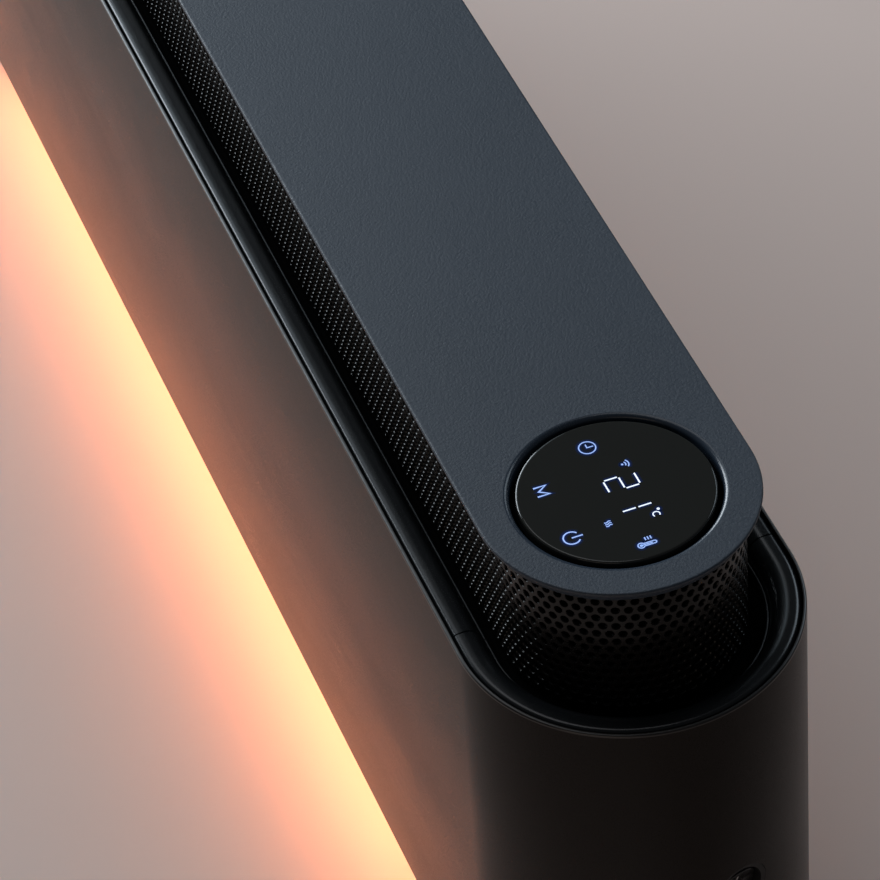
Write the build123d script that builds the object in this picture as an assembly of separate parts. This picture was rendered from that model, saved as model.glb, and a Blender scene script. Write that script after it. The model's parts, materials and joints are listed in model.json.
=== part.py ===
import os
from math import cos, radians, sin

from build123d import *

os.makedirs("parts", exist_ok=True)

# Low free-standing convector heater. Origin on the floor under the middle of the part,
# +X towards the end with the round display, -Y to the front, +Z up. Millimetres.

# Casing
overall_length = 900.0
casing_depth = 125.0
floor_gap = 45.0
casing_height = 199.0
casing_sheet = 1.2
casing_hem = 10.0
casing_edge = 0.6
rear_end_width = 90.0

# Lid over the outlet
lid_rise = 51.0
lid_inset = 12.5
lid_thickness = 4.5
lid_setback = 17.0
lid_edge_radius = 1.5
mesh_groove_depth = 1.0

# Round display in the lid
display_margin = 15.5
glass_thickness = 2.4
glass_chamfer = 0.4
glass_recess = 0.3
glass_gap = 1.25
display_hole_round = 1.7
carrier_height = 11.0
carrier_flange_width = 4.5
carrier_flange_thickness = 2.5
carrier_ledge = 3.4
window_lip = 4.5
board_thickness = 1.6
display_board_setback = 1.5

# Trim ring between casing and outlet
trim_gap = 0.7
trim_width = 12.3
trim_wall = 2.2
trim_roof = 4.4
trim_round = 8.4
trim_edge_radius = 0.8
trim_lip = 0.8
trim_end_run = 12.5
trim_seam = 0.3

# Outlet mesh: a staggered pattern of six-sided openings, coarser than the real sheet
mesh_inset = 6.0
mesh_sheet = 1.0
mesh_pitch = 20.0
mesh_opening = 16.5
mesh_rows = 3

# Deck that carries trim, mesh and lid
deck_drop = 13.0
deck_thickness = 3.0
deck_margin = 1.7
deck_opening_margin = 30.0
deck_ledge = 13.0
deck_rim_height = 4.0
deck_rim_width = 1.5

# Base tray
base_sheet = 1.5
base_margin = 1.7
base_flange_height = 12.0
inlet_slot_width = 4.0
inlet_slot_length = 44.0
inlet_slot_pitch = 14.0
inlet_margin = 60.0

# Rear panel
rear_tab_width = 11.0
rear_tab_drop = 3.0
rear_slot_length = 34.0
rear_slot_rise = 14.0

# Bulkheads and heating element
bulkhead_inset = 120.0
bulkhead_sheet = 1.2
bulkhead_flange = 15.0
bulkhead_fit = 0.1
element_rise = 70.0
element_end_gap = 12.0
element_hub_diameter = 15.0
element_reach = 40.0
element_wing = 2.4
element_fin = 1.2
element_fin_length = 9.0
element_fin_pitch = 6.0
element_fins = 4
rod_diameter = 8.3
rod_reach = 22.0
rod_pin_diameter = 4.0
rod_pin_length = 14.0
bush_diameter = 20.0
bush_flange_diameter = 30.0
bush_flange = 4.0

# Posts between deck and lid
post_across = 8.0
post_clearance = 8.0
post_inset = 135.0

# Feet
foot_inset = 150.0
foot_width = 30.0
foot_margin = 12.5
foot_clearance = 3.0
foot_edge_radius = 4.0
pad_diameter = 20.0
pad_height = 5.0
pad_inset = 12.0

# Light bar under the front edge
light_inset = 80.0
light_width = 14.0
light_height = 9.0
light_wall = 1.2
light_lip = 0.8
light_setback = 19.0
strip_width = 9.0
strip_thickness = 1.2
diffuser_bulge = 1.5
diffuser_shoulder = 1.2

# Round mains switch in the display end
switch_angle = 14.5
switch_drop = 94.7
switch_diameter = 22.6
switch_wall = 2.0
switch_depth = 17.0
switch_floor = 2.0
switch_flange_width = 3.0
switch_flange = 2.5
rocker_pivot_depth = 5.5
rocker_gap = 0.8
rocker_tilt = 10.0
rocker_below = 3.0
rocker_crown = 2.4
trunnion_diameter = 3.2
trunnion_length = 1.0

# Electrical parts in the display end. A place is a distance from that end, then from the rear face
power_board_width = 80.0
power_board_tall = 72.0
power_board_drop = 10.3
standoff_across = 6.0
standoff_height = 8.0
standoff_inset = 5.0
relay_size = (16.0, 20.0, 28.0)
relay_places = ((-24.0, 28.0), (0.0, 28.0))
transformer_size = (22.0, 28.0, 24.0)
transformer_place = (22.0, 26.0)
capacitor_diameter = 10.0
capacitor_length = 16.0
capacitor_places = ((-22.0, 56.0), (-6.0, 56.0))
terminal_length = 40.0
terminal_width = 18.0
terminal_height = 16.0
terminal_ways = 4
terminal_place = (84.0, 87.5)
cutout_diameter = 16.0
cutout_height = 8.0
cutout_plate = 1.2
cutout_plate_length = 30.0
cutout_drop = 45.0
sensor_diameter = 5.0
sensor_length = 14.0
sensor_place = (94.0, 16.5)
gland_bore = 8.0
gland_body = 13.8
gland_flange_diameter = 20.0
gland_flange = 3.0
gland_nut = 4.0
gland_place = (50.0, 28.5)

# Tilt cut-off: a hanging weight that opens a sealed contact when the heater tips over
tilt_place = (84.0, 48.5)
tilt_bracket_length = 26.0
tilt_bracket_width = 18.0
tilt_bracket_sheet = 1.5
tilt_pivot_height = 28.0
tilt_ear_above = 6.0
tilt_pin_diameter = 3.0
tilt_pin_head = 1.5
tilt_hub_diameter = 8.0
tilt_hub_length = 12.0
tilt_arm = 18.0
tilt_arm_width = 4.0
tilt_weight_diameter = 14.0
contact_size = (4.0, 8.0, 12.0)

# Fasteners
screw_diameter = 3.0
screw_length = 7.0
screw_head_across = 5.5
screw_head_height = 2.2
rear_screw_head_diameter = 6.0
foot_screw_diameter = 4.0
foot_screw_head_across = 7.0
foot_screw_head_room = 9.0
foot_screw_head_height = 3.0
foot_screw_spacing = 30.0
foot_screw_sink = 5.0
casing_screw_inset = 200.0
casing_screw_count = 4
bulkhead_screw_gap = 6.5
deck_screw_spacing = 40.0
rear_screw_rise = 20.0
rear_screw_drop = 19.0

# Clearances
slide_fit = 0.2
hole_fit = 0.2
running_fit = 0.05
cut_past = 1.0

# Levels, from the floor up
casing_bottom = floor_gap
casing_top = casing_bottom + casing_height
lid_top = casing_top + lid_rise
lid_bottom = lid_top - lid_thickness
base_bottom = casing_bottom + casing_sheet
base_top = base_bottom + base_sheet
deck_top = casing_top - deck_drop
deck_bottom = deck_top - deck_thickness

# Plan outlines: every ring is a straight run with a half circle at each end
casing_radius = casing_depth / 2
casing_run = overall_length / 2 - casing_radius
casing_inner = casing_radius - casing_sheet
lid_radius = casing_radius - lid_inset
lid_run = overall_length / 2 - lid_setback - lid_radius
mesh_radius = lid_radius - mesh_inset
trim_outer = casing_inner - trim_gap
trim_inner = trim_outer - trim_width
base_radius = casing_inner - base_margin
bulkhead_half = base_radius - base_sheet - bulkhead_fit
light_offset = casing_radius - light_setback
foot_half = casing_radius - foot_margin
pad_offset = foot_half - pad_inset
post_offset = mesh_radius - post_clearance
deck_opening_side = mesh_radius - deck_ledge
bulkhead_screw_side = light_offset - light_width / 2 - bulkhead_screw_gap
glass_diameter = 2 * (lid_radius - display_margin)
display_hole_diameter = glass_diameter + 2 * glass_gap
display_window_diameter = glass_diameter - 2 * window_lip
display_board_diameter = glass_diameter - 2 * display_board_setback

# Places along the casing, from its middle
casing_end = overall_length / 2
rear_opening_half = casing_end - rear_end_width
bulkhead_face = casing_end - bulkhead_inset
inlet_half = bulkhead_face - inlet_margin
deck_opening_half = bulkhead_face - deck_opening_margin
element_half = bulkhead_face - element_end_gap
rod_half = bulkhead_face + rod_reach
foot_x = casing_end - foot_inset
light_half = casing_end - light_inset
post_places = (post_inset - casing_end, 0.0, casing_end - post_inset)
casing_screw_half = casing_end - casing_screw_inset
casing_screw_pitch = 2 * casing_screw_half / (casing_screw_count - 1)
casing_screw_places = [i * casing_screw_pitch - casing_screw_half for i in range(casing_screw_count)]
terminal_spot = (casing_end - terminal_place[0], casing_radius - terminal_place[1])
sensor_spot = (casing_end - sensor_place[0], casing_radius - sensor_place[1])
gland_spot = (casing_end - gland_place[0], casing_radius - gland_place[1])
tilt_x = casing_end - tilt_place[0]
tilt_y = casing_radius - tilt_place[1]

# Heights of inner pieces
light_bottom = base_bottom - light_height
element_height = base_top + element_rise
switch_height = casing_top - switch_drop
power_board_bottom = deck_bottom - power_board_drop - power_board_tall
cutout_level = deck_bottom - cutout_drop
rear_slot_start = casing_bottom + rear_slot_rise
rear_screw_low = casing_bottom + rear_screw_rise
rear_screw_high = deck_bottom - rear_screw_drop
rear_screw_levels = (rear_screw_low, (rear_screw_low + rear_screw_high) / 2, rear_screw_high)


def slab(outline, low, high):
    return extrude(Pos(0, 0, low) * outline, amount=high - low, dir=(0, 0, 1))


def ring_outline(run, outer, inner):
    return SlotCenterToCenter(2 * run, 2 * outer) - SlotCenterToCenter(2 * run, 2 * inner)


def box(low, high):
    size = [b - a for a, b in zip(low, high)]
    middle = [(a + b) / 2 for a, b in zip(low, high)]
    return Pos(*middle) * Box(*size)


def upright(diameter, low, high, place=(0.0, 0.0)):
    return Pos(place[0], place[1], (low + high) / 2) * Cylinder(diameter / 2, high - low)


def hexagon(across, low, high, place):
    outline = Pos(place[0], place[1]) * RegularPolygon(across / 2, 6, major_radius=False)
    return slab(outline, low, high)


def along_x(diameter, start, end, y, z):
    return Pos((start + end) / 2, y, z) * Rot(0, 90, 0) * Cylinder(diameter / 2, abs(end - start))


def run_x(profile, start, end):
    # A profile drawn with its first axis along Y and its second along Z, run along X
    return extrude(Plane.YZ.offset(start) * profile, amount=end - start, dir=(1, 0, 0))


def mirrored_places(x_values, y):
    return [(x, side * y) for x in x_values for side in (-1, 1)]


def write(name, shape):
    shape.label = name
    export_step(shape, f"parts/{name}.step")


def write_group(name, solids):
    write(name, Compound(children=solids))


def write_pair(name, right_shape):
    write(f"{name}_right", right_shape)
    write(f"{name}_left", Rot(0, 0, 180) * right_shape)


# Front shell: one wrapped sheet, open at the rear, with an inward hem along its bottom edge
switch_turn = radians(switch_angle)
switch_plane = Plane(
    origin=(casing_run, 0, switch_height),
    x_dir=(-sin(switch_turn), cos(switch_turn), 0),
    z_dir=(cos(switch_turn), sin(switch_turn), 0),
)
rear_gap = box(
    (-rear_opening_half, 0, casing_bottom - cut_past),
    (rear_opening_half, casing_depth, casing_top + cut_past),
)
shell_body = slab(SlotCenterToCenter(2 * casing_run, casing_depth), casing_bottom, casing_top)
bottom_rim = shell_body.edges().group_by(Axis.Z)[0]
shell_body = chamfer(bottom_rim, casing_edge)
shell_room = slab(SlotCenterToCenter(2 * casing_run, 2 * casing_inner), base_bottom, casing_top)
hem_room = slab(
    SlotCenterToCenter(2 * casing_run, 2 * (casing_inner - casing_hem)), casing_bottom, base_bottom
)
switch_hole = switch_plane * Pos(0, 0, casing_radius) * Cylinder(
    switch_diameter / 2 + hole_fit, casing_radius
)
casing_screws = mirrored_places(casing_screw_places, casing_inner - casing_hem / 2)
hem_holes = [
    upright(screw_diameter + 2 * hole_fit, casing_bottom - cut_past, base_top + cut_past, place)
    for place in casing_screws
]
rear_screw_x = rear_opening_half + rear_tab_width / 2
rear_screw_places = [(side * rear_screw_x, level) for side in (-1, 1) for level in rear_screw_levels]


def rear_bore(diameter, place):
    depth = 4 * casing_sheet
    return Pos(place[0], casing_radius, place[1]) * Rot(90, 0, 0) * Cylinder(diameter / 2, depth)


def rear_screw(place):
    # Countersunk head flush with the sheet
    outline = Polyline(
        (0, 0),
        (rear_screw_head_diameter / 2, 0),
        (screw_diameter / 2, -casing_sheet),
        (screw_diameter / 2, -screw_length),
        (0, -screw_length),
        close=True,
    )
    turned = revolve(Plane.XZ * make_face(outline), Axis.Z)
    return Pos(place[0], casing_radius, place[1]) * Rot(-90, 0, 0) * turned


def rear_sink(place):
    outline = Polyline(
        (0, 0),
        (rear_screw_head_diameter / 2 + hole_fit, 0),
        (screw_diameter / 2 + hole_fit, -casing_sheet),
        (0, -casing_sheet),
        close=True,
    )
    turned = revolve(Plane.XZ * make_face(outline), Axis.Z)
    return Pos(place[0], casing_radius, place[1]) * Rot(-90, 0, 0) * turned


front_shell = shell_body - shell_room - hem_room - rear_gap - switch_hole - hem_holes
front_shell -= [rear_sink(place) for place in rear_screw_places]
write("front_shell", front_shell)

# Rear panel: flush plate with tabs behind the shell's edges, a hem below and a row of inlet slots
panel_half = rear_opening_half - slide_fit
panel = box((-panel_half, casing_inner, casing_bottom), (panel_half, casing_radius, casing_top))
panel += box(
    (-panel_half, casing_inner - casing_hem, casing_bottom), (panel_half, casing_inner, base_bottom)
)
for side in (-1, 1):
    tab_ends = sorted((side * (panel_half - rear_tab_width), side * (panel_half + rear_tab_width)))
    panel += box(
        (tab_ends[0], casing_inner - casing_sheet, base_top),
        (tab_ends[1], casing_inner, deck_bottom - rear_tab_drop),
    )
slot_count = int(2 * inlet_half // inlet_slot_pitch) + 1
slot_x = [(i - (slot_count - 1) / 2) * inlet_slot_pitch for i in range(slot_count)]
panel -= [
    box(
        (x - inlet_slot_width / 2, casing_inner - cut_past, rear_slot_start),
        (x + inlet_slot_width / 2, casing_radius + cut_past, rear_slot_start + rear_slot_length),
    )
    for x in slot_x
]
panel -= hem_holes
panel -= [rear_bore(screw_diameter + 2 * hole_fit, place) for place in rear_screw_places]
write("rear_panel", panel)
write_group("rear_screws", [rear_screw(place) for place in rear_screw_places])

# Base tray: sits on the hems, with an upturned rim and rows of air inlet slots
base_tray = slab(SlotCenterToCenter(2 * casing_run, 2 * base_radius), base_bottom, base_top)
base_tray += slab(
    ring_outline(casing_run, base_radius, base_radius - base_sheet),
    base_top,
    base_top + base_flange_height,
)
base_tray -= [
    box(
        (x - inlet_slot_width / 2, -inlet_slot_length / 2, base_bottom - cut_past),
        (x + inlet_slot_width / 2, inlet_slot_length / 2, base_top + cut_past),
    )
    for x in slot_x
]
bulkhead_screw_x = bulkhead_face + bulkhead_flange / 2 + bulkhead_sheet / 2
bulkhead_screws = mirrored_places((-bulkhead_screw_x, bulkhead_screw_x), bulkhead_screw_side)
bulkhead_hole_top = base_top + bulkhead_sheet + cut_past
bulkhead_holes = [
    upright(screw_diameter + 2 * hole_fit, base_bottom - cut_past, bulkhead_hole_top, place)
    for place in bulkhead_screws
]
foot_screw_places = mirrored_places((-foot_x, foot_x), foot_screw_spacing / 2)
foot_holes = [
    upright(foot_screw_diameter + 2 * hole_fit, foot_clearance, base_top + cut_past, place)
    for place in foot_screw_places
]
gland_hole = upright(gland_body + 2 * hole_fit, base_bottom - cut_past, base_top + cut_past, gland_spot)
base_tray -= hem_holes + bulkhead_holes + foot_holes + [gland_hole]
write("base_tray", base_tray)


def screw_up(place, seat):
    # Hexagon-head screw driven upwards, its head below the seat
    head = hexagon(screw_head_across, seat - screw_head_height, seat, place)
    return head + upright(screw_diameter, seat, seat + screw_length, place)


def screw_down(place, seat):
    head = hexagon(screw_head_across, seat, seat + screw_head_height, place)
    return head + upright(screw_diameter, seat - screw_length, seat, place)


base_screws = [screw_up(place, casing_bottom) for place in casing_screws]
base_screws += [screw_up(place, base_bottom) for place in bulkhead_screws]
write_group("base_screws", base_screws)

# Cord gland in the base, its bore empty
gland_low = base_bottom - gland_flange
gland_high = base_top + gland_nut
cord_gland = upright(gland_flange_diameter, gland_low, base_bottom, gland_spot)
cord_gland += upright(gland_body, base_bottom, base_top, gland_spot)
cord_gland += upright(gland_flange_diameter, base_top, gland_high, gland_spot)
cord_gland -= upright(gland_bore, gland_low - cut_past, gland_high + cut_past, gland_spot)
write("cord_gland", cord_gland)

# Feet: a cross bar under each end, notched for the light bar, on two rubber pads
pad_places = mirrored_places((foot_x,), pad_offset)
foot_bar = box(
    (foot_x - foot_width / 2, -foot_half, foot_clearance),
    (foot_x + foot_width / 2, foot_half, base_bottom),
)
foot_bar = fillet(foot_bar.edges().filter_by(Axis.Z), foot_edge_radius)
light_front = -light_offset - light_width / 2
light_back = -light_offset + light_width / 2
foot_bar -= box(
    (foot_x - foot_width, light_front - slide_fit, light_bottom - diffuser_bulge - slide_fit),
    (foot_x + foot_width, light_back + slide_fit, base_bottom + cut_past),
)
foot_bar -= [
    upright(pad_diameter + 2 * slide_fit, foot_clearance - cut_past, pad_height, place)
    for place in pad_places
]
foot_head_seat = foot_clearance + foot_screw_sink
for side in (-1, 1):
    place = (foot_x, side * foot_screw_spacing / 2)
    hole_size = foot_screw_diameter + 2 * hole_fit
    foot_bar -= upright(hole_size, foot_clearance - cut_past, base_bottom + cut_past, place)
    foot_bar -= upright(foot_screw_head_room, foot_clearance - cut_past, foot_head_seat, place)
foot_bar_left = mirror(foot_bar, about=Plane.YZ)
write("foot_bar_right", foot_bar)
write("foot_bar_left", foot_bar_left)
all_pads = mirrored_places((-foot_x, foot_x), pad_offset)
write_group("foot_pads", [upright(pad_diameter, 0, pad_height, place) for place in all_pads])


def foot_screw(place):
    head = hexagon(
        foot_screw_head_across, foot_head_seat - foot_screw_head_height, foot_head_seat, place
    )
    return head + upright(foot_screw_diameter, foot_head_seat, base_top + screw_head_height, place)


write_group("foot_screws", [foot_screw(place) for place in foot_screw_places])

# Light bar: channel, lamp strip and domed diffuser, hung under the base behind the front hem
channel_inside = light_width / 2 - light_wall
channel = Rectangle(light_width, light_height) - Pos(0, -light_wall) * Rectangle(
    2 * channel_inside, light_height
)
lip_drop = (light_wall - light_height) / 2
for side in (-1, 1):
    lip_middle = side * (channel_inside - light_lip / 2)
    channel += Pos(lip_middle, lip_drop) * Rectangle(light_lip, light_wall)
channel_middle = base_bottom - light_height / 2
light_channel = run_x(
    Pos(-light_offset, channel_middle) * channel, -light_half, light_half
)
write("light_channel", light_channel)
strip_top = base_bottom - light_wall
led_strip = box(
    (-light_half, -light_offset - strip_width / 2, strip_top - strip_thickness),
    (light_half, -light_offset + strip_width / 2, strip_top),
)
write("led_strip", led_strip)
neck = channel_inside - light_lip - slide_fit
shoulder = channel_inside - slide_fit
shoulder_low = light_bottom + light_wall
diffuser_outline = Polyline(
    (neck, light_bottom),
    (neck, shoulder_low),
    (shoulder, shoulder_low),
    (shoulder, shoulder_low + diffuser_shoulder),
    (-shoulder, shoulder_low + diffuser_shoulder),
    (-shoulder, shoulder_low),
    (-neck, shoulder_low),
    (-neck, light_bottom),
)
dome = ThreePointArc((-neck, light_bottom), (0, light_bottom - diffuser_bulge), (neck, light_bottom))
diffuser_section = Pos(-light_offset, 0) * make_face(diffuser_outline + dome)
write("light_diffuser", run_x(diffuser_section, -light_half, light_half))

# Bulkheads: folded sheets that close the heating chamber and carry the deck
bulkhead_outline = Polyline(
    (bulkhead_face, base_top),
    (bulkhead_face + bulkhead_flange, base_top),
    (bulkhead_face + bulkhead_flange, base_top + bulkhead_sheet),
    (bulkhead_face + bulkhead_sheet, base_top + bulkhead_sheet),
    (bulkhead_face + bulkhead_sheet, deck_bottom - bulkhead_sheet),
    (bulkhead_face + bulkhead_flange, deck_bottom - bulkhead_sheet),
    (bulkhead_face + bulkhead_flange, deck_bottom),
    (bulkhead_face, deck_bottom),
    close=True,
)
bulkhead = extrude(Plane.XZ * make_face(bulkhead_outline), amount=bulkhead_half, both=True)
bush_hole = bush_diameter + 2 * hole_fit
bulkhead -= along_x(
    bush_hole, bulkhead_face - cut_past, bulkhead_face + bulkhead_flange, 0, element_height
)
deck_screw_places = mirrored_places((-bulkhead_screw_x, bulkhead_screw_x), deck_screw_spacing / 2)
deck_hole_low = deck_bottom - bulkhead_sheet - cut_past
deck_holes = [
    upright(screw_diameter + 2 * hole_fit, deck_hole_low, deck_top + cut_past, place)
    for place in deck_screw_places
]
bulkhead -= bulkhead_holes + deck_holes
write_pair("bulkhead", bulkhead)

# Heating element: crossed aluminium wings with fins around a sheathed rod in two ceramic bushes
wing = Pos(element_reach / 2, 0) * Rectangle(element_reach, element_wing)
for i in range(element_fins):
    fin_place = element_reach - element_fin / 2 - i * element_fin_pitch
    wing += Pos(fin_place, 0) * Rectangle(element_fin, element_fin_length)
element_section = Circle(element_hub_diameter / 2)
for turn in (45, 135, 225, 315):
    element_section += Rot(0, 0, turn) * wing
element_section -= Circle(rod_diameter / 2 + running_fit)
element_section = Pos(0, element_height) * element_section
write("heating_element", run_x(element_section, -element_half, element_half))
heating_rod = along_x(rod_diameter, -rod_half, rod_half, 0, element_height)
for side in (-1, 1):
    pin_start = side * rod_half
    heating_rod += along_x(
        rod_pin_diameter, pin_start, pin_start + side * rod_pin_length, 0, element_height
    )
write("heating_rod", heating_rod)
bush_seat = bulkhead_face + bulkhead_sheet
element_bush = along_x(bush_diameter, element_half, bush_seat, 0, element_height)
element_bush += along_x(
    bush_flange_diameter, bush_seat, bush_seat + bush_flange, 0, element_height
)
bush_bore = rod_diameter + 2 * running_fit
element_bush -= along_x(
    bush_bore, element_half - cut_past, bush_seat + bush_flange + cut_past, 0, element_height
)
write_pair("element_bush", element_bush)

# Outlet deck: moulded frame with the warm-air opening and a rim that locates the mesh
deck_radius = casing_inner - deck_margin
rim_outer = mesh_radius - mesh_sheet - slide_fit
outlet_deck = slab(SlotCenterToCenter(2 * casing_run, 2 * deck_radius), deck_bottom, deck_top)
outlet_deck += slab(
    ring_outline(lid_run, rim_outer, rim_outer - deck_rim_width), deck_top, deck_top + deck_rim_height
)
outlet_deck -= slab(
    Rectangle(2 * deck_opening_half, 2 * deck_opening_side), deck_bottom - cut_past, deck_top + cut_past
)
post_screw_places = mirrored_places(post_places, post_offset)
outlet_deck -= deck_holes
outlet_deck -= [
    upright(screw_diameter + 2 * hole_fit, deck_bottom - cut_past, deck_top + cut_past, place)
    for place in post_screw_places
]
write("outlet_deck", outlet_deck)
write_group("deck_screws", [screw_down(place, deck_top) for place in deck_screw_places])

# Lid posts, screwed from below the deck
lid_posts = [
    hexagon(post_across, deck_top, lid_bottom, place)
    - upright(screw_diameter + 2 * running_fit, deck_top - cut_past, deck_top + screw_length, place)
    for place in post_screw_places
]
write_group("lid_posts", lid_posts)
write_group("lid_screws", [screw_up(place, deck_bottom) for place in post_screw_places])

# Trim ring: hollow rounded moulding in four lengths, two straight strips and two end pieces
round_foot = casing_top - trim_round
round_start = trim_inner + trim_lip
hollow_outer = trim_outer - trim_wall
hollow_inner = round_start + trim_wall
hollow_top = casing_top - trim_roof
trim_lines = Polyline(
    (hollow_inner, deck_top),
    (trim_inner, deck_top),
    (trim_inner, round_foot),
    (round_start, round_foot),
)
trim_lines += TangentArc(
    (round_start, round_foot), (round_start + trim_round, casing_top), tangent=(0, 1)
)
trim_lines += Line(
    (round_start + trim_round, casing_top), (trim_outer - trim_edge_radius, casing_top)
)
trim_lines += TangentArc(
    (trim_outer - trim_edge_radius, casing_top),
    (trim_outer, casing_top - trim_edge_radius),
    tangent=(1, 0),
)
trim_lines += Polyline(
    (trim_outer, casing_top - trim_edge_radius),
    (trim_outer, deck_top),
    (hollow_outer, deck_top),
    (hollow_outer, hollow_top),
    (hollow_inner, hollow_top),
    (hollow_inner, deck_top),
)
trim_section = (Plane.XZ * make_face(trim_lines)).rotate(Axis.Z, -90)
seam_x = casing_run - trim_end_run
strip_half = seam_x - trim_seam
trim_front = extrude(Pos(-strip_half, 0, 0) * trim_section, amount=2 * strip_half, dir=(1, 0, 0))
write("trim_front", trim_front)
write("trim_rear", Rot(0, 0, 180) * trim_front)
end_section = Pos(casing_run, 0, 0) * trim_section
end_run = extrude(Pos(seam_x, 0, 0) * trim_section, amount=trim_end_run, dir=(1, 0, 0))
trim_end = revolve(end_section, Axis((casing_run, 0, 0), (0, 0, 1)), 180)
trim_end += end_run + mirror(end_run, about=Plane.XZ)
write_pair("trim_end", trim_end)

# Outlet mesh: two flat lengths and two curved ends between deck and lid groove
mesh_top = lid_bottom + mesh_groove_depth - slide_fit
mesh_middle = (deck_top + lid_bottom) / 2
row_pitch = mesh_pitch * 3**0.5 / 2
hex_radius = mesh_opening / 3**0.5


def staggered(length):
    # Places of the openings along a band of this length, each row shifted by half a pitch
    places = []
    for row in range(mesh_rows):
        count = int((length - mesh_pitch / 2) // mesh_pitch) - row % 2
        level = mesh_middle + (row - (mesh_rows - 1) / 2) * row_pitch
        places += [((i - (count - 1) / 2) * mesh_pitch, level) for i in range(count)]
    return places


flat_outline = Pos(0, (deck_top + mesh_top) / 2) * Rectangle(2 * lid_run, mesh_top - deck_top)
opening = RegularPolygon(hex_radius, 6, rotation=30)
flat_outline -= [Pos(x, level) * opening for x, level in staggered(2 * lid_run)]
mesh_front = extrude(Plane.XZ.offset(mesh_radius) * flat_outline, amount=mesh_sheet, dir=(0, 1, 0))
write("mesh_front", mesh_front)
write("mesh_rear", Rot(0, 0, 180) * mesh_front)
end_ring = Circle(mesh_radius) - Circle(mesh_radius - mesh_sheet)
end_half = end_ring & Pos(mesh_radius, 0) * Rectangle(2 * mesh_radius, 4 * mesh_radius)
mesh_end = slab(end_half, deck_top, mesh_top)
end_length = radians(180) * mesh_radius
cutter = extrude(Plane.YZ * opening, amount=2 * mesh_radius, dir=(1, 0, 0))
mesh_end -= [
    Pos(0, 0, level) * Rot(0, 0, place / end_length * 180) * cutter
    for place, level in staggered(end_length)
]
write_pair("mesh_end", Pos(lid_run, 0, 0) * mesh_end)

# Lid: stadium plate with rounded edge, display hole and a groove that takes the mesh
display_place = (lid_run, 0.0)
top_lid = slab(SlotCenterToCenter(2 * lid_run, 2 * lid_radius), lid_bottom, lid_top)
top_lid = fillet(top_lid.edges().group_by(Axis.Z)[-1], lid_edge_radius)
top_lid -= upright(display_hole_diameter, lid_bottom - cut_past, lid_top + cut_past, display_place)
hole_rim = top_lid.edges().filter_by(GeomType.CIRCLE).group_by(Axis.Z)[-1]
hole_rim = hole_rim.filter_by(lambda edge: abs(edge.radius - display_hole_diameter / 2) < 0.01)
top_lid = fillet(hole_rim, display_hole_round)
top_lid -= slab(
    ring_outline(lid_run, mesh_radius + slide_fit, mesh_radius - mesh_sheet - slide_fit),
    lid_bottom,
    lid_bottom + mesh_groove_depth,
)
write("top_lid", top_lid)

# Display: carrier clipped up into the lid, board on its ledge, dark glass on top
glass_top = lid_top - glass_recess
glass_bottom = glass_top - glass_thickness
carrier_outer = display_hole_diameter - 4 * hole_fit
carrier_low = glass_bottom - carrier_height
ledge_level = glass_bottom - carrier_ledge
carrier = upright(carrier_outer, carrier_low, glass_bottom, display_place)
carrier += upright(
    carrier_outer + 2 * carrier_flange_width,
    lid_bottom - carrier_flange_thickness,
    lid_bottom,
    display_place,
)
carrier -= upright(display_window_diameter, carrier_low - cut_past, glass_bottom + cut_past, display_place)
carrier -= upright(
    display_board_diameter + 2 * slide_fit, carrier_low - cut_past, ledge_level, display_place
)
write("display_carrier", carrier)
write(
    "display_board",
    upright(display_board_diameter, ledge_level - board_thickness, ledge_level, display_place),
)
display_glass = upright(glass_diameter, glass_bottom, glass_top, display_place)
display_glass = chamfer(display_glass.edges().group_by(Axis.Z)[-1], glass_chamfer)
write("display_glass", display_glass)

# Mains switch: flat-rimmed cup in the curved sheet, held by an inner flange, with a rocker on stub axles
switch_radius = switch_diameter / 2
cup_bore = switch_radius - switch_wall
flange_radius = switch_radius + switch_flange_width
cup_rim = (casing_radius**2 - switch_radius**2) ** 0.5 - running_fit
cup_low = cup_rim - switch_depth
flange_seat = (casing_inner**2 - flange_radius**2) ** 0.5 - running_fit


def on_switch(radius, low, high):
    return switch_plane * Pos(0, 0, (low + high) / 2) * Cylinder(radius, high - low)


switch_cup = on_switch(switch_radius, cup_low, cup_rim)
switch_cup += on_switch(flange_radius, flange_seat - switch_flange, flange_seat)
switch_cup -= on_switch(cup_bore, cup_low + switch_floor, cup_rim + cut_past)
pivot = cup_rim - rocker_pivot_depth
axle_turn = Pos(0, 0, pivot) * Rot(0, 90, 0)
switch_cup -= switch_plane * axle_turn * Cylinder(
    trunnion_diameter / 2 + running_fit, 2 * (cup_bore + trunnion_length + slide_fit)
)
write("switch_cup", switch_cup)
rocker_radius = cup_bore - rocker_gap
crown_rise = rocker_radius * sin(radians(rocker_tilt))
rocker_outline = Polyline(
    (-rocker_radius, -rocker_below),
    (rocker_radius, -rocker_below),
    (rocker_radius, rocker_crown + crown_rise),
    (0, rocker_crown),
    (-rocker_radius, rocker_crown + crown_rise),
    close=True,
)
rocker = extrude(Plane.YZ * make_face(rocker_outline), amount=rocker_radius, both=True)
rocker &= Cylinder(rocker_radius, 4 * rocker_radius)
rocker += Rot(0, 90, 0) * Cylinder(trunnion_diameter / 2, 2 * (cup_bore + trunnion_length))
write("switch_rocker", switch_plane * Pos(0, 0, pivot) * Rot(rocker_tilt, 0, 0) * rocker)

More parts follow.
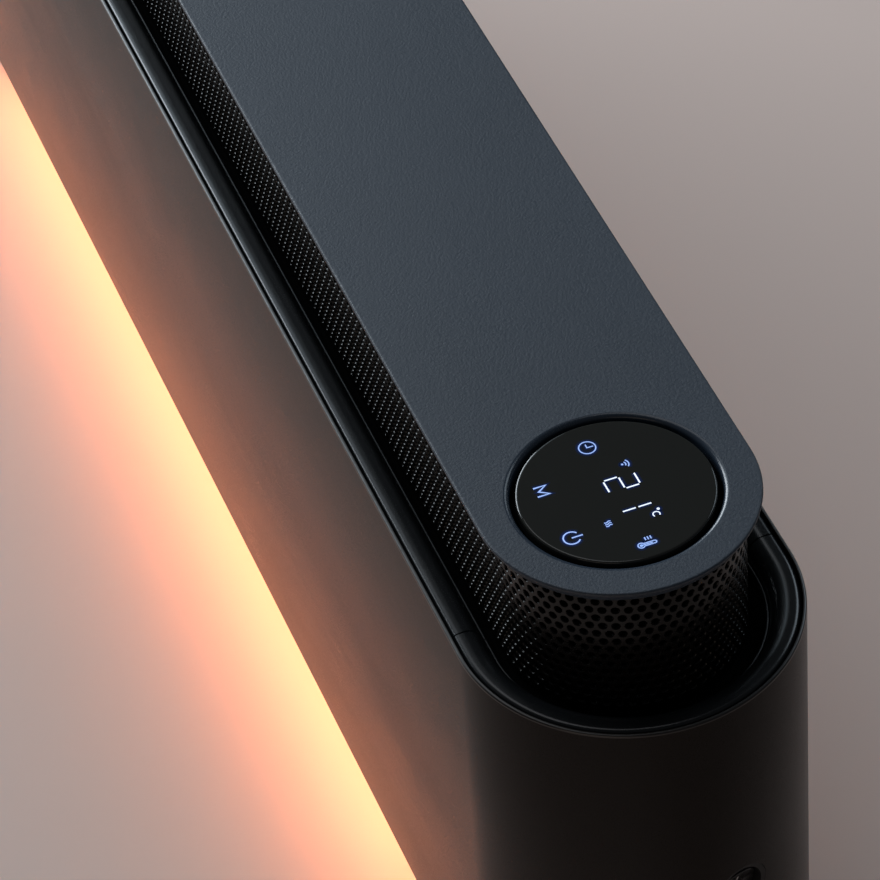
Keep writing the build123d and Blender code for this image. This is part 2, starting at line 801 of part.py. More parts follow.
# Power board on standoffs at the outer face of the right bulkhead
board_face = bulkhead_face + bulkhead_sheet + standoff_height
board_back = board_face + board_thickness
power_board = box(
    (board_face, -power_board_width / 2, power_board_bottom),
    (board_back, power_board_width / 2, power_board_bottom + power_board_tall),
)
write("power_board", power_board)
standoff_y = power_board_width / 2 - standoff_inset
standoff_levels = (
    power_board_bottom + standoff_inset,
    power_board_bottom + power_board_tall - standoff_inset,
)
standoff_outline = RegularPolygon(standoff_across / 2, 6, major_radius=False)
standoffs = [
    run_x(Pos(side * standoff_y, level) * standoff_outline, bulkhead_face + bulkhead_sheet, board_face)
    for side in (-1, 1)
    for level in standoff_levels
]
write_group("board_standoffs", standoffs)


def on_board(size, place):
    middle = power_board_bottom + place[1]
    return box(
        (board_back, place[0] - size[1] / 2, middle - size[2] / 2),
        (board_back + size[0], place[0] + size[1] / 2, middle + size[2] / 2),
    )


board_parts = [on_board(relay_size, place) for place in relay_places]
board_parts.append(on_board(transformer_size, transformer_place))
board_parts += [
    along_x(capacitor_diameter, board_back, board_back + capacitor_length, y, power_board_bottom + rise)
    for y, rise in capacitor_places
]
write_group("board_components", board_parts)

# Terminal block on the base
terminal_block = box(
    (terminal_spot[0] - terminal_length / 2, terminal_spot[1] - terminal_width / 2, base_top),
    (
        terminal_spot[0] + terminal_length / 2,
        terminal_spot[1] + terminal_width / 2,
        base_top + terminal_height,
    ),
)
way_pitch = terminal_length / terminal_ways
way_bore = way_pitch / 2
for i in range(terminal_ways):
    way_x = terminal_spot[0] + (i - (terminal_ways - 1) / 2) * way_pitch
    terminal_block -= upright(
        way_bore,
        base_top + terminal_height / 2,
        base_top + terminal_height + cut_past,
        (way_x, terminal_spot[1]),
    )
write("terminal_block", terminal_block)

# Over-heat cut-out on the chamber side of the right bulkhead
cutout_face = bulkhead_face - cutout_plate
thermal_cutout = along_x(cutout_diameter, cutout_face - cutout_height, cutout_face, 0, cutout_level)
thermal_cutout += box(
    (cutout_face, -cutout_plate_length / 2, cutout_level - cutout_diameter / 2),
    (bulkhead_face, cutout_plate_length / 2, cutout_level + cutout_diameter / 2),
)
write("thermal_cutout", thermal_cutout)

# Room-air sensor standing on the base
room_sensor = upright(sensor_diameter, base_top, base_top + sensor_length, sensor_spot)
room_sensor = chamfer(room_sensor.edges().group_by(Axis.Z)[-1], sensor_diameter / 4)
write("room_sensor", room_sensor)

# Tilt cut-off: bracket, pin, hanging weight and sealed contact
tilt_floor = base_top + tilt_bracket_sheet
tilt_pivot = tilt_floor + tilt_pivot_height
bracket_half = tilt_bracket_length / 2
bracket_front = tilt_y - tilt_bracket_width / 2
bracket_rear = tilt_y + tilt_bracket_width / 2
tilt_bracket = box(
    (tilt_x - bracket_half, bracket_front, base_top),
    (tilt_x + bracket_half, bracket_rear, tilt_floor),
)
for side in (-1, 1):
    ear_ends = sorted(
        (tilt_x + side * bracket_half, tilt_x + side * (bracket_half - tilt_bracket_sheet))
    )
    tilt_bracket += box(
        (ear_ends[0], bracket_front, tilt_floor),
        (ear_ends[1], bracket_rear, tilt_pivot + tilt_ear_above),
    )
pin_ends = (tilt_x - bracket_half - tilt_pin_head, tilt_x + bracket_half + tilt_pin_head)
tilt_bracket -= along_x(
    tilt_pin_diameter + 2 * running_fit, pin_ends[0], pin_ends[1], tilt_y, tilt_pivot
)
write("tilt_bracket", tilt_bracket)
tilt_pin = along_x(tilt_pin_diameter, pin_ends[0], pin_ends[1], tilt_y, tilt_pivot)
for end, inward in ((pin_ends[0], 1), (pin_ends[1], -1)):
    tilt_pin += along_x(
        2 * tilt_pin_diameter, end, end + inward * tilt_pin_head, tilt_y, tilt_pivot
    )
write("tilt_pin", tilt_pin)
hub_half = tilt_hub_length / 2
weight_level = tilt_pivot - tilt_arm
tilt_weight = along_x(
    tilt_hub_diameter, tilt_x - hub_half, tilt_x + hub_half, tilt_y, tilt_pivot
)
tilt_weight += box(
    (tilt_x - tilt_arm_width / 2, tilt_y - tilt_arm_width / 2, weight_level),
    (tilt_x + tilt_arm_width / 2, tilt_y + tilt_arm_width / 2, tilt_pivot),
)
tilt_weight += along_x(
    tilt_weight_diameter, tilt_x - hub_half, tilt_x + hub_half, tilt_y, weight_level
)
tilt_weight -= along_x(
    tilt_pin_diameter + 2 * running_fit, pin_ends[0], pin_ends[1], tilt_y, tilt_pivot
)
write("tilt_weight", tilt_weight)
contact_x = tilt_x + bracket_half
tilt_contact = box(
    (contact_x, tilt_y - contact_size[1] / 2, weight_level - contact_size[2] / 2),
    (contact_x + contact_size[0], tilt_y + contact_size[1] / 2, weight_level + contact_size[2] / 2),
)
write("tilt_contact", tilt_contact)
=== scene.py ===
import json
import math

import bmesh
import bpy
from mathutils import Matrix, Vector


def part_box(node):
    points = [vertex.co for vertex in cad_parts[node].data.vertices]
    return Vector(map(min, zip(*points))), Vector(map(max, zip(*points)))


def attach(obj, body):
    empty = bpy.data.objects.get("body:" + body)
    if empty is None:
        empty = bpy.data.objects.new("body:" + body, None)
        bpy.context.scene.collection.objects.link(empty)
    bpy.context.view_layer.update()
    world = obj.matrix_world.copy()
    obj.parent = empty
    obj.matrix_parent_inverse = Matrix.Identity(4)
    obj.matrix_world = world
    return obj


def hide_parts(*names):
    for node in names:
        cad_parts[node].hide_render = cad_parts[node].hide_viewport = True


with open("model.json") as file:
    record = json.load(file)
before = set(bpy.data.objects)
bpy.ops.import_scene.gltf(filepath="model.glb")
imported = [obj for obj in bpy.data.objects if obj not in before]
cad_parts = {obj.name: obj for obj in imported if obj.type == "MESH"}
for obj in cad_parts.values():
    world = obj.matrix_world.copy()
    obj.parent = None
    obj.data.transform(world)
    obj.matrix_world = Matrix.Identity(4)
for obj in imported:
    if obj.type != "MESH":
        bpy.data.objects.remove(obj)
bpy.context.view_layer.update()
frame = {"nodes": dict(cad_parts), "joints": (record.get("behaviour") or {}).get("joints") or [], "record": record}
mm = 0.001
print("frame loaded:", len(frame["nodes"]), "nodes")

# Levels and radii of the heater, read from the frame
lidLow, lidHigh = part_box("top_lid")
lidRadius = (lidHigh.y - lidLow.y) / 2
lidRun = lidHigh.x - lidRadius
lidTop = lidHigh.z
shellLow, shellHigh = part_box("front_shell")
shellRadius = (shellHigh.y - shellLow.y) / 2
shellRun = shellHigh.x - shellRadius
trimLow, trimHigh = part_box("trim_front")
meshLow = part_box("mesh_front")[0]
glassLow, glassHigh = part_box("display_glass")
rockerHinge = next(joint for joint in frame["joints"] if joint["name"] == "rocker_hinge")


# Shared shader groups

noiseSpan = (0.3, 0.7)  # where most values of a noise lie


def startGroup(name, inputs, outputs):
    group = bpy.data.node_groups.new(name, "ShaderNodeTree")
    for label, value in inputs.items():
        socket = group.interface.new_socket(name=label, in_out="INPUT", socket_type="NodeSocketFloat")
        socket.default_value = value
    for label in outputs:
        group.interface.new_socket(name=label, in_out="OUTPUT", socket_type="NodeSocketFloat")
    entry = group.nodes.new("NodeGroupInput")
    leave = group.nodes.new("NodeGroupOutput")
    place = group.nodes.new("ShaderNodeTexCoord")
    return group, entry, leave, place.outputs["Object"]


def addNoise(tree, vector, scale, detail, roughness=0.5, distortion=0.0):
    noise = tree.nodes.new("ShaderNodeTexNoise")
    noise.inputs["Detail"].default_value = detail
    noise.inputs["Roughness"].default_value = roughness
    noise.inputs["Distortion"].default_value = distortion
    tree.links.new(vector, noise.inputs["Vector"])
    tree.links.new(scale, noise.inputs["Scale"])
    return noise.outputs[0]


def addRange(tree, value, span, result=(0.0, 1.0)):
    node = tree.nodes.new("ShaderNodeMapRange")
    tree.links.new(value, node.inputs["Value"])
    for label, limit in zip(("From Min", "From Max", "To Min", "To Max"), (*span, *result)):
        node.inputs[label].default_value = limit
    return node.outputs["Result"]


def addMath(tree, operation, first, second):
    node = tree.nodes.new("ShaderNodeMath")
    node.operation = operation
    for socket, value in zip(node.inputs, (first, second)):
        if isinstance(value, (int, float)):
            socket.default_value = value
        else:
            tree.links.new(value, socket)
    return node.outputs[0]


grainShape = {
    "detail": 2.0, "roughness": 0.6, "fleckShare": 0.83, "fleckSpan": (0.66, 0.80), "cloudDetail": 3.0,
    "cloudRoughness": 0.55, "cloudWarp": 0.4,
}


def buildCoatGrain():
    # Powder-coat grain, sparse bright flecks and slow cloudy change
    shape = grainShape
    group, entry, leave, place = startGroup(
        "coatGrain", {"Grain Scale": 2600.0, "Cloud Scale": 9.0}, ("Grain", "Fleck", "Cloud")
    )
    grainScale, cloudScale = entry.outputs["Grain Scale"], entry.outputs["Cloud Scale"]
    grain = addNoise(group, place, grainScale, shape["detail"], shape["roughness"])
    group.links.new(grain, leave.inputs["Grain"])
    spots = addNoise(group, place, addMath(group, "MULTIPLY", grainScale, shape["fleckShare"]), 0.0)
    group.links.new(addRange(group, spots, shape["fleckSpan"]), leave.inputs["Fleck"])
    cloud = addNoise(
        group, place, cloudScale, shape["cloudDetail"], shape["cloudRoughness"], shape["cloudWarp"]
    )
    group.links.new(addRange(group, cloud, noiseSpan), leave.inputs["Cloud"])
    return group


handlingShape = {
    "stretch": (0.35, 1.6, 1.0), "turn": (0.0, 0.0, 0.5), "wipeDetail": 5.0, "wipeRoughness": 0.62,
    "wipeWarp": 1.2, "wipeSpan": (0.42, 0.72), "dustDetail": 1.0, "dustSpan": (0.69, 0.76),
    "upwardSpan": (0.4, 0.95),
}


def buildHandling():
    # Faint wipe marks and settled dust: dust gathers on faces that look up
    shape = handlingShape
    group, entry, leave, place = startGroup(
        "handling", {"Wipe Scale": 14.0, "Dust Scale": 900.0}, ("Wipe", "Dust")
    )
    stretch = group.nodes.new("ShaderNodeMapping")
    stretch.inputs["Scale"].default_value = shape["stretch"]
    stretch.inputs["Rotation"].default_value = shape["turn"]
    group.links.new(place, stretch.inputs["Vector"])
    wipe = addNoise(
        group, stretch.outputs["Vector"], entry.outputs["Wipe Scale"], shape["wipeDetail"],
        shape["wipeRoughness"], shape["wipeWarp"],
    )
    group.links.new(addRange(group, wipe, shape["wipeSpan"]), leave.inputs["Wipe"])
    speck = addNoise(group, place, entry.outputs["Dust Scale"], shape["dustDetail"])
    speck = addRange(group, speck, shape["dustSpan"])
    facing = group.nodes.new("ShaderNodeNewGeometry")
    split = group.nodes.new("ShaderNodeSeparateXYZ")
    group.links.new(facing.outputs["Normal"], split.inputs["Vector"])
    upward = addRange(group, split.outputs["Z"], shape["upwardSpan"])
    group.links.new(addMath(group, "MULTIPLY", speck, upward), leave.inputs["Dust"])
    return group


lineShape = {"detail": 2.0, "roughness": 0.6, "bandShare": 0.05}


def buildDrawLines():
    # Fine lines left by drawing, rolling or extruding along the length
    detail = lineShape["detail"]
    group, entry, leave, place = startGroup(
        "drawLines", {"Line Scale": 900.0, "Along X": 0.02}, ("Line", "Band")
    )
    stretch = group.nodes.new("ShaderNodeMapping")
    merge = group.nodes.new("ShaderNodeCombineXYZ")
    merge.inputs["Y"].default_value = merge.inputs["Z"].default_value = 1.0
    group.links.new(entry.outputs["Along X"], merge.inputs["X"])
    group.links.new(merge.outputs["Vector"], stretch.inputs["Scale"])
    group.links.new(place, stretch.inputs["Vector"])
    line = addNoise(
        group, stretch.outputs["Vector"], entry.outputs["Line Scale"], detail, lineShape["roughness"]
    )
    group.links.new(line, leave.inputs["Line"])
    slow = addMath(group, "MULTIPLY", entry.outputs["Line Scale"], lineShape["bandShare"])
    band = addNoise(group, stretch.outputs["Vector"], slow, detail)
    group.links.new(addRange(group, band, noiseSpan), leave.inputs["Band"])
    return group


def buildCrystals():
    # Zinc spangle or ceramic speckle: flat patches that differ in tone
    group, entry, leave, place = startGroup("crystals", {"Patch Scale": 160.0}, ("Patch",))
    cells = group.nodes.new("ShaderNodeTexVoronoi")
    group.links.new(place, cells.inputs["Vector"])
    group.links.new(entry.outputs["Patch Scale"], cells.inputs["Scale"])
    tone = group.nodes.new("ShaderNodeSeparateColor")
    group.links.new(cells.outputs["Color"], tone.inputs["Color"])
    group.links.new(tone.outputs["Red"], leave.inputs["Patch"])
    return group


coatGrain = buildCoatGrain()
handling = buildHandling()
drawLines = buildDrawLines()
crystals = buildCrystals()
print("shader groups built")


# Finishes

def startFinish(name, plain):
    material = bpy.data.materials.new(name)
    material.use_nodes = True
    tree = material.node_tree
    surface = tree.nodes["Principled BSDF"]
    for label, value in plain.items():
        surface.inputs[label].default_value = value
    return material, tree, surface


def placeGroup(tree, group, values):
    node = tree.nodes.new("ShaderNodeGroup")
    node.node_tree = group
    for label, value in values.items():
        node.inputs[label].default_value = value
    return node.outputs


def mixColour(tree, factor, first, second):
    # For colours, the mix node's sockets are 0 (factor), 6 and 7 (colours) and 2 (result)
    node = tree.nodes.new("ShaderNodeMix")
    node.data_type = "RGBA"
    tree.links.new(factor, node.inputs[0])
    for socket, value in zip((node.inputs[6], node.inputs[7]), (first, second)):
        if isinstance(value, tuple):
            socket.default_value = (*value, 1.0)
        else:
            tree.links.new(value, socket)
    return node.outputs[2]


def addBump(tree, surface, height, strength, distance):
    bump = tree.nodes.new("ShaderNodeBump")
    bump.inputs["Strength"].default_value = strength
    bump.inputs["Distance"].default_value = distance
    tree.links.new(height, bump.inputs["Height"])
    tree.links.new(bump.outputs["Normal"], surface.inputs["Normal"])


def coatFinish(name, look):
    # Paint, powder coat, moulded plastic and rubber
    material, tree, surface = startFinish(name, look.get("plain", {}))
    grain = placeGroup(tree, coatGrain, {"Grain Scale": look["grain"], "Cloud Scale": look["cloud"]})
    marks = placeGroup(tree, handling, {"Wipe Scale": look["wipe"]})
    colour = mixColour(tree, grain["Cloud"], look["dark"], look["light"])
    flecks = addMath(tree, "MULTIPLY", grain["Fleck"], look["fleck"])
    colour = mixColour(tree, flecks, colour, look["fleckColour"])
    specks = addMath(tree, "MULTIPLY", marks["Dust"], look["dust"])
    colour = mixColour(tree, specks, colour, look["dustColour"])
    tree.links.new(colour, surface.inputs["Base Color"])
    base = addRange(tree, grain["Grain"], noiseSpan, look["roughness"])
    wiped = addMath(tree, "MULTIPLY", marks["Wipe"], look["wipeDepth"])
    tree.links.new(addMath(tree, "ADD", base, wiped), surface.inputs["Roughness"])
    addBump(tree, surface, grain["Grain"], look["bump"], look["bumpDepth"])
    if "rubbedSpan" in look:
        # The top edge is rubbed smooth, so it shines more than the rest
        place = tree.nodes.new("ShaderNodeTexCoord")
        split = tree.nodes.new("ShaderNodeSeparateXYZ")
        tree.links.new(place.outputs["Object"], split.inputs["Vector"])
        rubbed = addRange(tree, split.outputs["Z"], look["rubbedSpan"])
        tree.links.new(rubbed, surface.inputs["Coat Weight"])
    return material


def metalFinish(name, look):
    # Drawn, rolled or extruded metal
    material, tree, surface = startFinish(name, {"Metallic": 1.0})
    lines = placeGroup(tree, drawLines, {"Line Scale": look["lines"], "Along X": look["alongX"]})
    marks = placeGroup(tree, handling, {"Wipe Scale": look["wipe"]})
    colour = mixColour(tree, lines["Band"], look["dark"], look["light"])
    tree.links.new(mixColour(tree, marks["Wipe"], colour, look["dull"]), surface.inputs["Base Color"])
    tree.links.new(addRange(tree, lines["Line"], noiseSpan, look["roughness"]), surface.inputs["Roughness"])
    addBump(tree, surface, lines["Line"], look["bump"], look["bumpDepth"])
    return material


def patchFinish(name, look):
    # Galvanised sheet and ceramic
    material, tree, surface = startFinish(name, look.get("plain", {}))
    patch = placeGroup(tree, crystals, {"Patch Scale": look["patch"]})
    grain = placeGroup(tree, coatGrain, {"Grain Scale": look["grain"]})
    colour = mixColour(tree, patch["Patch"], look["dark"], look["light"])
    tree.links.new(mixColour(tree, grain["Fleck"], colour, look["fleckColour"]), surface.inputs["Base Color"])
    tree.links.new(addRange(tree, patch["Patch"], (0.0, 1.0), look["roughness"]), surface.inputs["Roughness"])
    addBump(tree, surface, grain["Grain"], look["bump"], look["bumpDepth"])
    return material


def boardFinish(name, look):
    # Circuit board: solder mask over a net of copper tracks
    material, tree, surface = startFinish(name, look["plain"])
    place = tree.nodes.new("ShaderNodeTexCoord")
    tracks = tree.nodes.new("ShaderNodeTexBrick")
    tracks.inputs["Scale"].default_value = look["tracks"]
    tracks.inputs["Mortar Size"].default_value = look["trackWidth"]
    turn = tree.nodes.new("ShaderNodeMapping")
    turn.inputs["Rotation"].default_value = look["turn"]
    tree.links.new(place.outputs["Object"], turn.inputs["Vector"])
    tree.links.new(turn.outputs["Vector"], tracks.inputs["Vector"])
    grain = placeGroup(tree, coatGrain, {"Cloud Scale": look["cloud"]})
    mask = mixColour(tree, grain["Cloud"], look["dark"], look["light"])
    tree.links.new(mixColour(tree, tracks.outputs["Fac"], mask, look["track"]), surface.inputs["Base Color"])
    addBump(tree, surface, tracks.outputs["Fac"], look["bump"], look["bumpDepth"])
    return material


def glowFinish(name, look):
    # Lit symbols, their painted glow (halo and haze) and the light bar's cover
    material, tree, surface = startFinish(
        name, {"Base Color": (*look["body"], 1.0), "Emission Strength": look["strength"],
               "Roughness": look.get("roughness", 0.5)}
    )
    grain = placeGroup(tree, coatGrain, {"Cloud Scale": look["cloud"]})
    colour = mixColour(tree, grain["Cloud"], look["dark"], look["light"])
    tree.links.new(colour, surface.inputs["Emission Color"])
    return material


def glassFinish(name, look):
    # Polished tinted glass with faint smears
    plain = {"Base Color": (*look["colour"], 1.0), "IOR": look["refraction"]}
    material, tree, surface = startFinish(name, plain)
    marks = placeGroup(tree, handling, {"Wipe Scale": look["wipe"]})
    smear = addRange(tree, marks["Wipe"], (0.0, 1.0), look["roughness"])
    tree.links.new(smear, surface.inputs["Roughness"])
    return material


coatBase = {
    "grain": 2600.0, "cloud": 8.0, "wipe": 9.0, "wipeDepth": 0.05, "fleck": 0.0,
    "fleckColour": (0.1, 0.1, 0.1), "dust": 0.15, "dustColour": (0.35, 0.34, 0.33),
    "bump": 0.12, "bumpDepth": 0.00008,
}
coatLooks = {
    "shell_paint": {
        "plain": {"IOR": 1.23, "Coat Roughness": 0.30, "Coat IOR": 1.5},
        "rubbedSpan": (shellHigh.z - 1.1 * mm, shellHigh.z - 0.8 * mm),
        "dark": (0.0085, 0.0060, 0.0044), "light": (0.0110, 0.0079, 0.0060), "grain": 3000.0,
        "roughness": (0.24, 0.34), "bump": 0.05, "dust": 0.04,
    },
    "lid_satin": {
        "dark": (0.023, 0.034, 0.051), "light": (0.028, 0.040, 0.059), "grain": 1050.0, "fleck": 0.22,
        "fleckColour": (0.085, 0.098, 0.115), "dust": 0.04, "roughness": (0.36, 0.56), "bump": 0.42,
        "bumpDepth": 0.00030,
    },
    "lid_edge": {
        "dark": (0.023, 0.034, 0.051), "light": (0.028, 0.040, 0.059), "roughness": (0.20, 0.28), "dust": 0.0,
    },
    "trim_black": {
        "dark": (0.0045, 0.0052, 0.0060), "light": (0.006, 0.0068, 0.0076), "roughness": (0.18, 0.25),
        "bump": 0.03, "dust": 0.03,
    },
    "mesh_black": {
        "plain": {"IOR": 1.34}, "dark": (0.0026, 0.0021, 0.0018), "light": (0.0036, 0.0030, 0.0026),
        "roughness": (0.20, 0.28), "dust": 0.0,
    },
    "moulded_black": {
        "dark": (0.0040, 0.0040, 0.0043), "light": (0.0060, 0.0060, 0.0064), "roughness": (0.48, 0.62),
        "bump": 0.25, "dust": 0.05,
    },
    # Painted shade: the deck and the display carrier get a far darker, nearly unreflecting black than the moulded
    # black. It stands in for the deep shadow they lie in
    "deck_painted_shade": {
        "plain": {"Specular IOR Level": 0.02}, "dark": (0.0008, 0.0008, 0.0009),
        "light": (0.0012, 0.0012, 0.0013), "roughness": (0.80, 0.95), "bump": 0.25, "dust": 0.0,
    },
    "base_black": {
        "dark": (0.012, 0.012, 0.012), "light": (0.017, 0.017, 0.017), "roughness": (0.5, 0.66), "bump": 0.3,
    },
    "component_black": {
        "dark": (0.014, 0.014, 0.016), "light": (0.022, 0.022, 0.024), "roughness": (0.40, 0.55),
    },
    "pad_rubber": {
        "dark": (0.012, 0.012, 0.012), "light": (0.020, 0.020, 0.020), "roughness": (0.72, 0.88),
        "bump": 0.35,
    },
    "rocker_black": {
        "dark": (0.009, 0.009, 0.009), "light": (0.012, 0.012, 0.012), "roughness": (0.24, 0.34),
        "bump": 0.05,
    },
    "sensor_white": {
        "dark": (0.58, 0.58, 0.55), "light": (0.66, 0.66, 0.63), "roughness": (0.42, 0.55),
    },
    "strip_white": {
        "dark": (0.66, 0.65, 0.61), "light": (0.74, 0.73, 0.69), "roughness": (0.4, 0.5),
    },
}
metalBase = {
    "lines": 900.0, "alongX": 0.02, "wipe": 30.0, "roughness": (0.28, 0.45), "bump": 0.15, "bumpDepth": 0.00005,
}
metalLooks = {
    "element_aluminium": {
        "dark": (0.60, 0.60, 0.61), "light": (0.72, 0.72, 0.73), "dull": (0.52, 0.52, 0.53),
    },
    "rod_steel": {"dark": (0.40, 0.40, 0.41), "light": (0.52, 0.51, 0.50), "dull": (0.36, 0.34, 0.32)},
    "screw_steel": {
        "dark": (0.10, 0.10, 0.105), "light": (0.16, 0.16, 0.165), "dull": (0.09, 0.085, 0.08), "alongX": 1.0,
        "lines": 1500.0,
    },
    "standoff_brass": {
        "dark": (0.55, 0.38, 0.15), "light": (0.68, 0.50, 0.22), "dull": (0.42, 0.29, 0.12), "alongX": 1.0,
    },
}
patchLooks = {
    "galvanised_sheet": {
        "plain": {"Metallic": 1.0}, "patch": 170.0, "grain": 1600.0, "dark": (0.42, 0.43, 0.44),
        "light": (0.60, 0.61, 0.62), "fleckColour": (0.66, 0.67, 0.68), "roughness": (0.30, 0.48),
        "bump": 0.08, "bumpDepth": 0.00005,
    },
    "bush_ceramic": {
        "patch": 900.0, "grain": 1400.0, "dark": (0.62, 0.59, 0.53), "light": (0.72, 0.69, 0.63),
        "fleckColour": (0.50, 0.46, 0.40), "roughness": (0.55, 0.72), "bump": 0.30, "bumpDepth": 0.0001,
    },
}
glassLook = {"colour": (0.0215, 0.0215, 0.0190), "refraction": 1.5, "wipe": 55.0, "roughness": (0.05, 0.09)}
boardLook = {
    "plain": {"Roughness": 0.38, "Coat Weight": 0.3}, "tracks": 140.0, "trackWidth": 0.06,
    "turn": (0.0, math.pi / 2, 0.0), "cloud": 30.0, "dark": (0.006, 0.06, 0.022),
    "light": (0.010, 0.085, 0.032), "track": (0.03, 0.17, 0.07), "bump": 0.25, "bumpDepth": 0.00005,
}
diffuserLook = {
    "body": (0.8, 0.55, 0.32), "dark": (1.0, 0.325, 0.132), "light": (1.0, 0.362, 0.156), "strength": 24.0,
    "cloud": 6.0,
}
finishes = {name: coatFinish(name, {**coatBase, **look}) for name, look in coatLooks.items()}
finishes.update({name: metalFinish(name, {**metalBase, **look}) for name, look in metalLooks.items()})
finishes.update({name: patchFinish(name, look) for name, look in patchLooks.items()})
finishes["display_glass"] = glassFinish("display_glass", glassLook)
finishes["board_green"] = boardFinish("board_green", boardLook)
finishes["diffuser_warm"] = glowFinish("diffuser_warm", diffuserLook)
print("finishes built:", len(finishes))


# Mesh helpers

weld = {"merge": 0.002 * mm, "shortest": 0.001 * mm, "sameStation": 1e-7, "sameSpot": 1e-6}


def makePiece(name, points, faces, slot, replaced=(), body="casing", sharpDegrees=35.0, material=None):
    mesh = bpy.data.meshes.new(name)
    mesh.from_pydata(points, [], faces)
    work = bmesh.new()
    work.from_mesh(mesh)
    bmesh.ops.remove_doubles(work, verts=work.verts, dist=weld["merge"])
    bmesh.ops.dissolve_degenerate(work, edges=work.edges, dist=weld["shortest"])
    bmesh.ops.recalc_face_normals(work, faces=work.faces)
    work.to_mesh(mesh)
    work.free()
    mesh.shade_smooth()
    mesh.set_sharp_from_angle(angle=math.radians(sharpDegrees))
    piece = bpy.data.objects.new(name, mesh)
    bpy.context.scene.collection.objects.link(piece)
    mesh.materials.append(material or finishes[slot])
    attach(piece, body)
    if replaced:
        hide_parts(*replaced)
    return piece


def straightRun(fromX, toX, side, count):
    # Stations of a ring's straight run: centre x, then the outward direction
    return [(fromX + (toX - fromX) * i / count, 0.0, side) for i in range(count + 1)]


def turnRun(centreX, fromDegrees, toDegrees, count):
    # Stations of a rounded end
    degrees = [fromDegrees + (toDegrees - fromDegrees) * i / count for i in range(count + 1)]
    angles = [math.radians(value) for value in degrees]
    return [(centreX, math.cos(angle), math.sin(angle)) for angle in angles]


def joinRuns(*runs):
    # Where two runs meet, the shared station is kept once
    stations = []
    for run in runs:
        for station in run:
            if not stations or max(abs(a - b) for a, b in zip(stations[-1], station)) > weld["sameStation"]:
                stations.append(station)
    return stations


def onStation(station, radius, height):
    centreX, outX, outY = station
    return (centreX + outX * radius, outY * radius, height)


def sweepProfile(profile, stations, closed=False):
    # The profile is a closed outline of (radius, height) points
    count = len(profile)
    points = [onStation(station, *spot) for station in stations for spot in profile]
    steps = len(stations) if closed else len(stations) - 1
    faces = []
    for i in range(steps):
        here, there = i * count, (i + 1) % len(stations) * count
        for j in range(count):
            k = (j + 1) % count
            faces.append((here + j, here + k, there + k, there + j))
    if not closed:
        faces.append(tuple(range(count)))
        faces.append(tuple(range(len(points) - count, len(points))))
    return points, faces


def arcSpots(centre, radius, fromDegrees, toDegrees, count):
    spots = []
    for i in range(count + 1):
        angle = math.radians(fromDegrees + (toDegrees - fromDegrees) * i / count)
        spots.append((centre[0] + radius * math.cos(angle), centre[1] + radius * math.sin(angle)))
    return spots


# Lid: a flat plate with rounded ends and the display hole

lid = {
    "edgeRound": 0.8 * mm, "inset": 0.2 * mm, "undercut": 1.7 * mm, "footChamfer": 0.3 * mm,
    "holeRadius": 36.5 * mm, "holeRound": 2.0 * mm, "land": 0.4 * mm, "slack": 0.01 * mm, "turnSteps": 72,
    "roundSteps": 8,
}


def buildLid():
    # The side leans in under the top edge, so the plate looks thin from above
    steps, edge, small, land = lid["turnSteps"], lid["edgeRound"], lid["holeRound"], lid["land"]
    reach = lidRadius - lid["inset"]
    foot, chamfer = reach - lid["undercut"], lid["footChamfer"]
    lean = math.degrees(math.atan(lid["undercut"] / (lidTop - lidLow.z)))
    sides = [(reach - edge - land, lidTop)]
    sides += arcSpots((reach - edge, lidTop - edge), edge, 90, -lean, lid["roundSteps"])
    sides += [(foot, lidLow.z + chamfer), (foot - chamfer, lidLow.z)]
    bore = [(lid["holeRadius"] + small + land, lidTop)]
    bore += arcSpots((lid["holeRadius"] + small, lidTop - small), small, 90, 180, lid["roundSteps"])
    bore += [(lid["holeRadius"], lidLow.z)]
    around = joinRuns(turnRun(lidRun, -90, 90, steps), turnRun(-lidRun, 90, 270, steps))
    circle = turnRun(lidRun, -180, 180, 2 * steps)[:-1]
    points, faces, firsts = [], [], []
    for wall, stations in ((sides, around), (bore, circle)):
        count = len(stations)
        firsts.append((len(points), len(points) + (len(wall) - 1) * count))
        for row, (radius, height) in enumerate(wall):
            here = len(points)
            points += [onStation(station, radius, height) for station in stations]
            if row:
                for i in range(count):
                    j = (i + 1) % count
                    faces.append((here - count + i, here - count + j, here + j, here + i))
    # Upper and lower side, each split into a front and a rear half that meet at the hole
    rim, hole = len(around), len(circle)
    nose = steps // 2  # station at the far right
    tail = steps + 1 + steps // 2  # station at the far left
    for outerStart, holeStart in zip(*firsts):
        front = [outerStart + (tail + i) % rim for i in range((nose - tail) % rim + 1)]
        front += [holeStart + (hole // 2 - i) % hole for i in range(hole // 2 + 1)]
        rear = [outerStart + (nose + i) % rim for i in range((tail - nose) % rim + 1)]
        rear += [holeStart + (hole - i) % hole for i in range(hole // 2 + 1)]
        faces += [tuple(front), tuple(rear)]
    piece = makePiece("lid_plate", points, faces, "lid_satin", ("top_lid",))
    # The rounded edge of the hole is rubbed smoother than the plate
    piece.data.materials.append(finishes["lid_edge"])
    limit = lid["holeRadius"] + lid["holeRound"] + lid["slack"]
    for face in piece.data.polygons:
        spots = [piece.data.vertices[i].co for i in face.vertices]
        if max(math.hypot(spot.x - lidRun, spot.y) for spot in spots) < limit:
            face.material_index = 1


buildLid()
print("lid built")


# Trim: rounded moulding in four lengths, with a small bead at its foot

trim = {
    "fall": 7.4 * mm, "reach": 6.9 * mm, "ledge": 0.8 * mm, "bead": 0.6 * mm, "edgeRound": 2.0 * mm,
    "crown": 32.0 * mm, "seam": 0.6 * mm, "seamShift": 2.0 * mm, "beadEnd": 15, "beadSteps": 7,
    "roundSteps": 14, "crownSteps": 5, "edgeSteps": 6, "turnSteps": 64, "runSteps": 8, "endSteps": 2,
}


